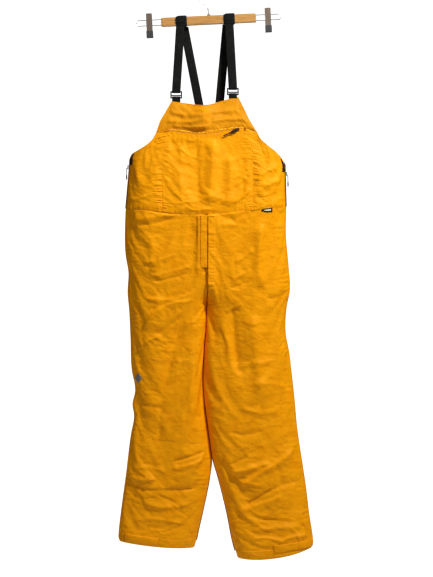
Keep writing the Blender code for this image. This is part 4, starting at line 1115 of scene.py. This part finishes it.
def ordered_rows(x, z):
    """Turns a grid so that x grows along a row and z falls from row to row."""
    if abs(x[0, -1] - x[0, 0]) < abs(x[-1, 0] - x[0, 0]):
        x, z = x.T, z.T
    if x[0, -1] < x[0, 0]:
        x, z = np.flip(x, axis=1), np.flip(z, axis=1)
    if z[0].mean() < z[-1].mean():
        x, z = np.flip(x, axis=0), np.flip(z, axis=0)
    return x, z


def coil(name, points, outward, width, slot, body):
    """Zip teeth: a short rounded link across the zip at every pitch."""
    bm = bmesh.new()
    spots = walk(points, ZIP_PITCH)
    for i, (spot, after) in enumerate(zip(spots, spots[1:])):
        run = Vector(after - spot).normalized()
        across = run.cross(Vector(outward)).normalized()
        lean = 0.12 * width * (1 if i % 2 else -1)
        middle = Vector(spot) + across * lean
        size = Matrix.Diagonal((ZIP_PITCH * 0.36, width * 0.38, 0.5 * MM, 1))
        turn = Matrix((run, across, run.cross(across))).transposed().to_4x4()
        place = Matrix.Translation(middle) @ turn @ size
        bmesh.ops.create_uvsphere(bm, u_segments=6, v_segments=4, radius=1, matrix=place)
    return finish_piece(mesh_piece(name, bm), slot, body)


# ---- Webbing ---------------------------------------------------------------------------
def webbing_rings(bm, line, width, thickness, closed, sag):
    """A ring of points across the webbing at each point of a line, and the length run so far."""
    rings, lengths = [], []
    travelled = 0.0
    last = len(line) - 1
    for i, point in enumerate(line):
        before, after = line[max(0, i - 1)], line[min(last, i + 1)]
        if closed and i in (0, last):
            before, after = line[-2], line[1]
        run = Vector(after - before).normalized()
        up = run.cross(Vector((1, 0, 0))).normalized()
        travelled += float(np.linalg.norm(point - line[max(0, i - 1)]))
        wave = sag * math.sin(travelled * 55)
        ring = []
        for across, high in WEBBING_PROFILE:
            spot = Vector(point) + Vector((across * width / 2, 0, 0)) + up * (high * thickness / 2 + wave)
            ring.append(bm.verts.new(spot))
        rings.append(ring)
        lengths.append(travelled)
    return rings, lengths


def ribbon(name, path, width, thickness, body, *nodes, closed=False, frame_turn=None, sag=0.0):
    """Webbing swept along 3-D points, its width along X. Its UV is in metres across and along."""
    line = np.array([*path, path[0]], float) if closed else walk(path, 3 * MM)
    bm = bmesh.new()
    layer = bm.loops.layers.uv.new("UVMap")
    rings, lengths = webbing_rings(bm, line, width, thickness, closed, sag)
    steps = len(WEBBING_PROFILE)
    for i, (first, second) in enumerate(zip(rings, rings[1:])):
        for k in range(steps):
            j = (k + 1) % steps
            face = bm.faces.new((first[k], first[j], second[j], second[k]))
            spots = ((k, i), (k + 1, i), (k + 1, i + 1), (k, i + 1))
            for loop, (place, row) in zip(face.loops, spots):
                share = WEBBING_PROFILE[place % steps][0]
                loop[layer].uv = (share * width / 2, lengths[row])
    if closed:
        bmesh.ops.remove_doubles(bm, verts=bm.verts, dist=0.01 * MM)
    else:
        bm.faces.new(rings[0])
        bm.faces.new(rings[-1])
    obj = mesh_piece(name, bm)
    if frame_turn:
        obj.data.transform(frame_turn)
    return finish_piece(obj, "webbing", body, *nodes)


def arc_points(centre, radius, start, end, steps):
    angles = [math.radians(start + (end - start) * i / steps) for i in range(steps + 1)]
    return [(centre[0] + radius * math.cos(a), centre[1] + radius * math.sin(a)) for a in angles]


def run_x(run, z):
    (x0, z0), (x1, z1) = run
    return x0 + (x1 - x0) * (z - z0) / (z1 - z0)


def with_x(run, path):
    return [(run_x(run, z), y, z) for y, z in path]


def front_brace(side):
    """The front run rides the straps' body. Its turn round the buckle rides the bib."""
    run = FRONT_RUNS[side]
    top_z, buckle_top = run[0][1], run[1][1]
    front_y, back_y = BUCKLE_Y - STRAP_TURN, BUCKLE_Y + STRAP_TURN
    path = [(-BAR_DEPTH / 2 - WEBBING, top_z + 3 * MM), (-9.2 * MM, (top_z + buckle_top) / 2)]
    path += [(front_y, buckle_top + 8 * MM), (front_y, buckle_top + 1 * MM)]
    front = ribbon(
        f"front_brace_{side}", with_x(run, path), STRAP_WIDTH, WEBBING, "straps", f"front_strap_{side}",
        sag=BRACE_SAG,
    )
    squash_up(front)
    path = [(front_y, buckle_top + 1.2 * MM)]
    path += arc_points((BUCKLE_Y, buckle_top - BUCKLE_BAR), STRAP_TURN, 180, 360, 16)
    path += [(back_y, buckle_top + 12 * MM), (back_y + 1 * MM, buckle_top + FREE_TAIL)]
    ribbon(f"brace_turn_{side}", with_x(run, path), STRAP_WIDTH - 0.6 * MM, WEBBING, "garment")


def buckle_tab(side):
    """Webbing sewn to the bib's top edge, round the buckle's low bar."""
    x, buckle_top = FRONT_RUNS[side][1]
    low = buckle_top - BUCKLE_HEIGHT + BUCKLE_BAR
    edge = float(np.interp(x, [p[0] for p in TOP_EDGE], [p[1] for p in TOP_EDGE]))
    front_y, back_y = BUCKLE_Y - STRAP_TURN, BUCKLE_Y + STRAP_TURN
    path = [(front_y, edge + 1 * MM), (front_y, (edge + low) / 2)]
    path += arc_points((BUCKLE_Y, low), STRAP_TURN, 180, 0, 10)
    path += [(back_y, edge), (back_y + 1 * MM, edge - 26 * MM)]
    points = [(x, y, z) for y, z in path]
    ribbon(f"buckle_tab_{side}", points, STRAP_WIDTH - 1 * MM, WEBBING, "garment", f"strap_tab_{side}")


def back_brace(side):
    """The back run rides the straps' body, as the front one does. Its end is sewn to the back panel."""
    run = BACK_RUNS[side]
    top_z = run[0][1]
    depth = [float(torso_depth(0, z)) + 4.2 * MM for z in (-0.372, -0.405)]
    path = [(BAR_DEPTH / 2 + WEBBING, top_z + 4 * MM), (12.5 * MM, -0.24), (depth[0], -0.372)]
    back = ribbon(
        f"back_brace_{side}", with_x(run, path), STRAP_WIDTH, WEBBING, "straps", f"back_strap_{side}",
        sag=BRACE_SAG,
    )
    squash_up(back)
    path = [(depth[0], -0.3725), (depth[1], -0.4045)]
    ribbon(f"back_brace_end_{side}", with_x(run, path), STRAP_WIDTH, WEBBING, "garment")


def squash_up(piece):
    """Gives a run its own copy of its mesh."""
    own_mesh(piece)


def hitch(side):
    """The brace's turns round the hanger bar, one over another."""
    x = HITCH_X[side]
    turn = Matrix.Rotation(-HANGER_TILT, 4, "Y")
    corner = 4.2 * MM
    for name, grow, width, shift, lean in HITCH_TURNS:
        half_y = BAR_DEPTH / 2 + grow * MM
        half_z = BAR_HEIGHT / 2 + grow * MM
        path = []
        for sign_y, sign_z, start in ((1, 1, 0), (-1, 1, 90), (-1, -1, 180), (1, -1, 270)):
            centre = (sign_y * (half_y - corner), sign_z * (half_z - corner))
            path += arc_points(centre, corner, start, start + 90, 6)
        if name == "fold":
            path = [(y, z * 0.55 + 2 * MM) if y < 0 else (y, z) for y, z in path]
            path = [(y - 0.9 * MM if y < -BAR_DEPTH / 2 else y, z) for y, z in path]
        points = [(x + shift * MM + lean * z, y, z - BAR_DROP) for y, z in path]
        nodes = [f"strap_hitch_{side}"] if name == "inner" else []
        ribbon(
            f"hitch_{name}_{side}", points, width * MM, 1.4 * MM, "hanger", *nodes, closed=True,
            frame_turn=turn,
        )


# ---- Trims -----------------------------------------------------------------------------
def span_grid(x0, z0, x1, z1, columns, rows):
    """x and z of an upright rectangle's grid, from its top left to its bottom right."""
    return np.meshgrid(np.linspace(x0, x1, columns + 1), np.linspace(z0, z1, rows + 1))


def knee_patch(side, cloth):
    across, down = np.meshgrid(np.linspace(*KNEE_ACROSS, 46), np.linspace(*KNEE_DOWN, 62))
    points = leg_points(side, -1, across, down)
    if side == "left":
        points = np.flip(points, axis=1)
    x, z = points[..., 0], points[..., 2]
    return laid(
        f"knee_cloth_{side}", cloth, x, z, -0.2 * MM, 0.35 * MM, "shell_fabric", "garment",
        f"knee_patch_{side}", tuck=0.4 * MM,
    )


def seat_patch(cloth):
    """One shield over the seat, with rounded lower corners."""
    x, z = span_grid(-0.117, -0.733, 0.117, -0.888, 56, 38)
    share = (z - z.min()) / np.ptp(z)
    x = x * (0.80 + 0.20 * np.sin(np.clip(share, 0, 1) * math.pi / 2) ** 0.6)
    return laid("seat_cloth", cloth, x, z, 0.15 * MM, 0.6 * MM, "shell_fabric", "garment", "seat_patch")


def back_yoke_patch(cloth):
    """A patch sewn over the braces' ends. It follows the webbing that it covers."""
    x, z = span_grid(-1, BACK_YOKE_TOP_Z, 1, BACK_YOKE_LOW_Z, 60, 24)
    x = 0.010 + x * (0.040 + 0.16 * (BACK_YOKE_TOP_Z - z))
    return laid(
        "back_yoke_cloth", cloth, x, z, 0.25 * MM, 0.8 * MM, "shell_fabric", "garment", "back_yoke_patch"
    )


def hem(side):
    """A turned-up hem all round the cuff."""
    rings = []
    for facing in (-1, 1):
        top = 1 - HEM_HEIGHT / LEG_LENGTH
        across, down = np.meshgrid(density(LEG_COLUMNS), np.linspace(top, 1, 8))
        points = leg_points(side, facing, across, down)
        points[..., 1] += facing * 0.75 * MM * np.clip(np.minimum(across, 1 - across) * 40, 0, 1)
        points[-1, :, 2] -= 0.6 * MM
        if side == "left":
            points = np.flip(points, axis=1)
        rings.append(grid_mesh(f"hem_{facing}_{side}", points, facing))
    bm = bmesh.new()
    for obj in rings:
        bm.from_mesh(obj.data)
        bpy.data.objects.remove(obj)
    bmesh.ops.remove_doubles(bm, verts=bm.verts, dist=0.3 * MM)
    piece = thicken(mesh_piece(f"hem_{side}", bm), 1.3 * MM)
    return finish_piece(piece, "shell_fabric", "garment", f"hem_band_{side}")


def ankle_tab(side, cloth):
    """A tab along the cuff, free at its inner end."""
    low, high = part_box(f"ankle_tab_{side}")
    outer, inner = (low.x, high.x) if side == "right" else (high.x, low.x)
    middle = (low.z + high.z) / 2
    rise = abs(outer - inner) * 0.5 * TAB_SLOPE[side]
    x, z = ordered_rows(*strip([(outer, middle + rise), (inner, middle - rise)], 23 * MM, columns=7))
    body, name = f"ankle_strap_{side}", f"cuff_tab_{side}"
    tab = laid(name, cloth, x, z, 0.7 * MM, 1.0 * MM, "shell_fabric", body, f"ankle_tab_{side}")
    path = [(outer, middle + rise), (inner, middle - rise)]
    inset = [beside(path, d, 0.04, 0.96) for d in (8.5 * MM, -8.5 * MM)]
    stitching(f"cuff_tab_stitching_{side}", Cloth([tab], -1), inset, body)


def front_strip(line, lift, drops):
    """Rows of points in front of the torso along (x, z) points, one row for each drop in z."""
    return np.array([[(x, -float(torso_depth(x, z)) - lift, z - d) for x, z in line] for d in drops])


def chest_pocket():
    """Yellow coil zip in its slot under the yoke, between two rolled lips."""
    line = dense(ZIP_LINE, PRINCESS["right"][0][0], PRINCESS["left"][0][0])[::8]
    middle = [(x, z - ZIP_ROOM / 2) for x, z in line]
    tape = grid_mesh("chest_zip_tape", front_strip(middle, 1.5 * MM, (-6 * MM, 0, 6 * MM)), -1)
    finish_piece(thicken(tape, 0.7 * MM), "yellow_zip", "garment", "chest_zip")
    backing = [(-0.128, -0.42), *middle, (0.126, -0.415)]
    lining = grid_mesh("pocket_lining", front_strip(backing, -2.5 * MM, (-12 * MM, 14 * MM)), -1)
    finish_piece(thicken(lining, 0.5 * MM), "shell_fabric", "garment")
    teeth = front_strip(middle, 1.5 * MM, [0])[0] - (0, 0.6 * MM, 0)
    coil("chest_zip_teeth", teeth, (0, -1, 0), 4 * MM, "yellow_zip", "garment")
    for word, drop, radius in (("upper", 0.9 * MM, 1.5 * MM), ("lower", ZIP_ROOM - 0.7 * MM, 1.3 * MM)):
        lip = walk(front_strip(line, 1.7 * MM, [drop])[0], 3 * MM)
        finish_piece(tube(f"zip_lip_{word}", lip, radius), "shell_fabric", "garment")


def main_axes(points):
    """Where a long flat part starts, and its vectors along, across and through."""
    middle = points.mean(axis=0)
    _, _, axes = np.linalg.svd(points - middle)
    along, wide, thin = (Vector(a) for a in axes)
    shares = (points - middle) @ np.array(along)
    order = np.argsort(shares)
    ends = [np.ptp(points[pick] @ np.array(wide)) for pick in (order[:8], order[-8:])]
    if ends[1] < ends[0]:
        along, shares = -along, -shares
    return Vector(middle) + along * float(shares.min()), along * float(np.ptp(shares)), wide, thin


def pull(node, body):
    """A rubber zip pull: a slim neck, and a ribbed grip at its free end."""
    start, along, wide, thin = main_axes(np.array([v.co for v in frame["nodes"][node].data.vertices]))
    turns = [2 * math.pi * k / PULL_SIDES for k in range(PULL_SIDES)]
    bm = bmesh.new()
    rings = []
    for share in np.linspace(0, 1, PULL_RINGS + 1):
        grip = smooth_step(0.52, 0.66, share) * smooth_step(1.02, 0.95, share)
        rib = 0.25 * math.sin(share * 90) * grip * (share < 0.92)
        tip = math.sqrt(max(0.05, 1 - max(0, (share - 0.94) / 0.06) ** 2)) if share > 0.94 else 1
        half = (1.6 + 2.4 * grip + rib) * tip * MM
        deep = (1.0 + 0.8 * grip + rib * 0.6) * tip * MM
        middle = start + along * float(share)
        ring = [middle + wide * math.cos(a) * half + thin * math.sin(a) * deep for a in turns]
        rings.append([bm.verts.new(spot) for spot in ring])
    join_rings(bm, rings)
    return finish_piece(mesh_piece(f"{node}_grip", bm), "rubber_pull", body, node)


def gusset():
    """A strip behind the legs' front edges, from the fly's foot to where the legs part."""
    x, z = span_grid(-9 * MM, FLY_END_Z + 10 * MM, 13 * MM, RISE_LOW - 14 * MM, 4, 36)
    centre = falling(TORSO_DEPTH, z) * (1 - smooth_step(RISE_TOP, RISE_LOW, z))
    points = np.stack([x, -np.maximum(centre - 2.5 * MM, 0), z], axis=-1)
    finish_piece(thicken(grid_mesh("crotch_gusset", points, -1), 0.8 * MM), "shell_fabric", "garment")


def fly_flap():
    """The flap over the fly: its hinged edge is drawn in and its free edge drops a little."""
    low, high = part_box("fly_flap")
    x, z = span_grid(low.x, WAIST_Z - 1 * MM, high.x, low.z, 10, 44)
    wave = 0.25 * MM * np.sin(z * 260) + 0.2 * MM * np.sin(z * 95 + x * 400)
    edge = smooth_step(high.x - 3 * MM, high.x, x) * 0.7 * MM
    edge = edge + smooth_step(low.x + 4 * MM, low.x, x) * 0.8 * MM
    points = np.stack([x, low.y + 1 * MM + edge + wave, z], axis=-1)
    flap = thicken(grid_mesh("flap_cloth", points, -1), 1 * MM)
    finish_piece(flap, "shell_fabric", "fly_cover", "fly_flap")
    top, middle, foot = high.z - 3 * MM, (low.z + high.z) / 2, low.z + 3 * MM
    rows = [[(a, top), (a + 0.3 * MM, middle), (a, foot)] for a in FLY_STITCHES]
    stitching("flap_stitching", Cloth([flap], -1), rows, "fly_cover")


def fly_placket(cloth):
    """The cloth under the flap. It rises out of the leg's front."""
    low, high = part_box("fly_placket")
    x, z = span_grid(low.x - 7 * MM, high.z, high.x, low.z, 10, 44)
    rise = smooth_step(low.x - 7 * MM, low.x + 2 * MM, x)
    base = np.array([[cloth.at(a, b)[0].y for a, b in zip(*row)] for row in zip(x, z)])
    points = np.stack([x, (base + 1 * MM) * (1 - rise) + (low.y + 0.2 * MM) * rise, z], axis=-1)
    placket = thicken(grid_mesh("placket_cloth", points, -1), 1 * MM)
    finish_piece(placket, "shell_fabric", "garment", "fly_placket")


def fly_zip():
    low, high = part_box("fly_zip")
    middle = (low.y + high.y) / 2 - 0.4 * MM
    grid = np.array([[(a, middle + 0.5 * MM, b) for a in (low.x, 0.0, high.x)] for b in (high.z, low.z)])
    finish_piece(thicken(grid_mesh("fly_zip_tape", grid, -1), 0.7 * MM), "yellow_zip", "garment", "fly_zip")
    line = [(0, middle, high.z), (0, middle, (low.z + high.z) / 2), (0, middle, low.z)]
    coil("fly_zip_teeth", line, (0, -1, 0), 4 * MM, "yellow_zip", "garment")


def side_zip(side, cloth):
    """Dark zip down the side seam, from the armhole. Its tape shows along the armhole's low end."""
    sign = SIGN[side]
    steps = walk([*ARMHOLE[side][-2:], *SIDE_ZIP_ENDS[side]], 5 * MM)
    out = 1.8 * MM
    grid = np.array(
        [[(x + sign * (out - abs(y) * 0.12), y, z) for y in (-4.5 * MM, 0, 4.5 * MM)] for x, z in steps]
    )
    tape = thicken(grid_mesh(f"side_zip_tape_{side}", grid, -sign), 0.7 * MM, 0)
    finish_piece(tape, "dark_zip", "garment", f"side_zip_{side}")
    teeth = [(x + sign * (out + 0.2 * MM), 0, z) for x, z in steps]
    coil(f"side_zip_teeth_{side}", teeth, (sign, 0, 0), 3.6 * MM, "dark_zip", "garment")
    shown = [*dense(ARMHOLE[side])[-26:], SIDE_ZIP_ENDS[side][0]]
    path = [(x - sign * 1.2 * MM, z - 0.4 * MM) for x, z in shown]
    x, z = ordered_rows(*strip(path, 4.2 * MM))
    laid(f"side_zip_edge_{side}", cloth, x, z, 0.5 * MM, 0.5 * MM, "dark_zip", "garment", tuck=0.2 * MM)


def waist_label(cloth):
    """The woven label, pointed at one end, with its stripe."""
    middle_x, middle_z = LABEL_AT
    x, z = span_grid(-1, 1, 1, -1, 12, 6)
    taper = 0.42 + 0.58 * smooth_step(-1, 0.1, x)
    label_x, label_z = middle_x + x * 16 * MM, middle_z + z * 6 * MM * taper + x * 0.8 * MM
    label = laid(
        "label_cloth", cloth, label_x, label_z, 0.9 * MM, 0.7 * MM, "label", "garment", "waist_label"
    )
    stripe_x = middle_x + 1.5 * MM + x * 10.5 * MM
    stripe_z = middle_z + z * 2.1 * MM * taper + x * 0.6 * MM
    surface = Cloth([label], -1)
    laid(
        "label_stripe", surface, stripe_x, stripe_z, 0.1 * MM, 0.25 * MM, "label_stripe", "garment",
        tuck=0.1 * MM,
    )


def lozenge(cloth):
    """The plain reflective lozenge on the thigh, stitched round its edge."""
    middle_x, middle_z = LOZENGE_AT
    x, z = span_grid(-1, 1, 1, -1, 10, 10)
    turned_x = middle_x + (x - z) / 2 * 11.5 * MM
    turned_z = middle_z + (x + z) / 2 * 15.5 * MM
    patch = laid(
        "reflective_lozenge", cloth, turned_x, turned_z, 0.7 * MM, 0.5 * MM, "reflective", "garment",
        "reflective_patch", tuck=0.2 * MM,
    )
    corners = ((0, 1), (1, 0), (0, -1), (-1, 0), (0, 1))
    border = [(middle_x + a * 9.3 * MM, middle_z + b * 12.8 * MM) for a, b in corners]
    sides = [[a, b] for a, b in zip(border, border[1:])]
    stitching("lozenge_stitching", Cloth([patch], -1), sides, "garment")


def softened(node, slot, body, width=0.5 * MM):
    """A copy of a hard CAD part with its edges rounded over."""
    obj = link(f"{node}_rounded", frame["nodes"][node].data.copy())
    made = obj.modifiers.new("rounding", "BEVEL")
    made.width = width
    made.segments = 3
    made.limit_method = "ANGLE"
    made.angle_limit = math.radians(35)
    obj.data.shade_smooth()
    obj.data.set_sharp_from_angle(angle=math.radians(35))
    return finish_piece(obj, slot, body, node)


def rolled_edges():
    """Rolled edges: the bib's top and armholes, and the back's top and armholes."""
    front = [("bib_top", TOP_EDGE)]
    front += [(f"bib_side_{side}", YOKE_SIDE[side]) for side in SIGN]
    front += [(f"armhole_{side}", ARMHOLE[side]) for side in SIGN]
    back = [("back_top", BACK_TOP)] + [(f"back_arm_{side}", BACK_ARMHOLE[side]) for side in SIGN]
    for facing, lines in ((-1, front), (1, back)):
        for name, path in lines:
            xz = walk(dense(path), 4 * MM)
            out = fold_height(xz[:, 0], xz[:, 1], EDGE_WAVES) * (facing < 0)
            y = skin(torso_depth(xz[:, 0], xz[:, 1]), out, facing) - facing * 0.6 * MM
            points = np.stack([xz[:, 0], y, xz[:, 1]], axis=1)
            finish_piece(tube(f"edge_{name}", points, 1.25 * MM), "shell_fabric", "garment")


def seam_lines():
    """Bound seams down the legs' outer edges and the torso's sides, and dark tubes of painted shade down
    the legs' inner edges, in the groove where the legs meet.
    """
    for side in SIGN:
        inner = [p for p in INNER[side] if p[1] < INSEAM_TOP_Z]
        for word, path, short, radius, slot in (
            ("outer", OUTER[side], 2, 1.2 * MM, "shell_fabric"),
            # The inner tube's dark cloth is painted shade, for the groove between the legs.
            ("inner", inner, 4, 1.2 * MM, "inseam_painted_shade"),
            ("side", [ARMHOLE[side][-1], OUTER[side][0]], 0, 1.0 * MM, "shell_fabric"),
        ):
            xz = walk(path, 5 * MM)
            points = [(x, 0, z) for x, z in xz[: len(xz) - short]]
            finish_piece(tube(f"seam_{word}_{side}", points, radius), slot, "garment")


def front_rows():
    """The stitching rows of the bib's front and the fly."""
    rows = []
    for side, sign in SIGN.items():
        rows += [beside(PRINCESS[side], d, 0.06, 0.97) for d in (3.5 * MM, -3.5 * MM)]
        rows += [beside(YOKE_SIDE[side], 7 * MM * -sign), beside(ARMHOLE[side], 7 * MM * -sign, 0, 0.93)]
    rows += [beside(PRINCESS["left"], d, 0.10, 0.60) for d in (14 * MM, 20 * MM)]
    rows += [beside(WAIST, d, 0.02, 0.98) for d in (4 * MM, -4 * MM)]
    rows += [beside(TOP_EDGE, -7 * MM, 0.02, 0.98), beside(TOP_EDGE, -34 * MM)]
    rows += [beside(ZIP_LINE, 27 * MM, 0.17, 0.84)]
    rows += [beside(ZIP_LINE, d, 0.13, 0.86) for d in (4 * MM, -ZIP_ROOM - 4 * MM)]
    return rows + FLY_ROWS


def knee_rows():
    """The stitching round each knee patch."""
    rows = []
    (near, far), (top, low) = KNEE_STITCH_ACROSS, KNEE_STITCH_DOWN
    corners = [(near, top), (far, top), (far, low), (near, low), (near, top)]
    for side in SIGN:
        for (a0, d0), (a1, d1) in zip(corners, corners[1:]):
            points = leg_points(side, -1, np.linspace(a0, a1, 16), np.linspace(d0, d1, 16))
            rows.append([tuple(p) for p in points[:, [0, 2]]])
    return rows


def back_rows():
    """The stitching rows of the back: the seat patch, the centre seam, the waist and the top."""
    rows = [[(-0.11, -0.738), (0.11, -0.738)], [(-0.088, -0.884), (0.088, -0.884)]]
    rows += [[(s * 0.112, -0.742), (s * 0.108, -0.83), (s * 0.092, -0.882)] for s in (-1, 1)]
    rows += [[(s * 4 * MM, -0.672), (s * 4 * MM, -0.78), (s * 4 * MM, -0.885)] for s in (-1, 1)]
    rows += [beside(WAIST, d, 0.02, 0.98) for d in (4 * MM, -4 * MM)]
    rows += [beside(BACK_TOP, -7 * MM)]
    rows += [[(-0.032, -0.39), (0.052, -0.39)], [(-0.042, -0.419), (0.062, -0.419)]]
    return rows + [beside(BACK_ARMHOLE[side], 7 * MM * -sign, 0.02, 0.93) for side, sign in SIGN.items()]


def all_stitching(front, back):
    stitching("front_stitching", front, front_rows(), "garment")
    across = np.linspace(0.03, 0.97, 24)
    down = np.full(24, 1 - (HEM_HEIGHT - 3 * MM) / LEG_LENGTH)
    for side in SIGN:
        for facing, cloth, word in ((-1, front, "front"), (1, back, "back")):
            row = [tuple(p) for p in leg_points(side, facing, across, down)[:, [0, 2]]]
            stitching(f"hem_stitching_{word}_{side}", cloth, [row], "garment")
    stitching("knee_stitching", front, knee_rows(), "garment")
    stitching("back_stitching", back, back_rows(), "garment")
    bartack = [[(a + d * MM, b) for a, b in BARTACK] for d in (-1, -0.5, 0, 0.5, 1)]
    stitching("fly_bartack", front, bartack, "garment")


# ---- Build -----------------------------------------------------------------------------
def declare(piece):
    """Reads a sheet's vertex coordinates; it does nothing with them."""
    spots = coordinates_of(piece.data)


def build_garment():
    panels = garment_panels()
    crumple(panels)
    fronts = [p for n, p in panels.items() if "back" not in n]
    backs = [p for n, p in panels.items() if "back" in n]
    front, back = Cloth(fronts, -1), Cloth(backs, 1)
    for node, piece in panels.items():
        # The yoke gets the darker copy of the shell cloth, as painted shade.
        finish_piece(piece, "yoke_shaded_fabric" if node == "bib_yoke" else "shell_fabric", "garment", node)
        declare(thicken(piece, 0.9 * MM))
    knees, hems = [], []
    for side in SIGN:
        knees.append(knee_patch(side, front))
        hems.append(hem(side))
        declare(hems[-1])
    seat = seat_patch(back)
    ends = [bpy.data.objects[f"back_brace_end_{side}"] for side in SIGN]
    yoke = back_yoke_patch(Cloth([panels["back_panel"], *ends], 1))
    for piece in (*knees, seat, yoke):
        declare(piece)
    trimmed_front = Cloth([*fronts, *knees, *hems], -1)
    trimmed_back = Cloth([*backs, seat, yoke, *hems], 1)
    for side in SIGN:
        ankle_tab(side, trimmed_front)
        side_zip(side, trimmed_front)
    chest_pocket()
    fly_flap()
    fly_placket(front)
    fly_zip()
    gusset()
    waist_label(trimmed_front)
    lozenge(trimmed_front)
    rolled_edges()
    seam_lines()
    all_stitching(trimmed_front, trimmed_back)


def build_hardware():
    for name, obj in frame["nodes"].items():
        obj.data.materials.clear()
        obj.data.materials.append(MATERIALS[SLOT_OF[name]])
    for side in SIGN:
        front_brace(side)
        buckle_tab(side)
        back_brace(side)
        hitch(side)
        softened(f"buckle_{side}", "black_plastic", "garment")
        pull(f"side_zip_pull_{side}", f"side_pull_{side}")
    pull("chest_zip_pull", "chest_pull")
    softened("hanger_bar", "hanger_wood", "hanger", 1.2 * MM)


stage()
MATERIALS = make_materials()
SLOT_OF = {s["node"]: s["material_slot"] for s in frame["record"]["subparts"]}
build_hardware()
build_garment()
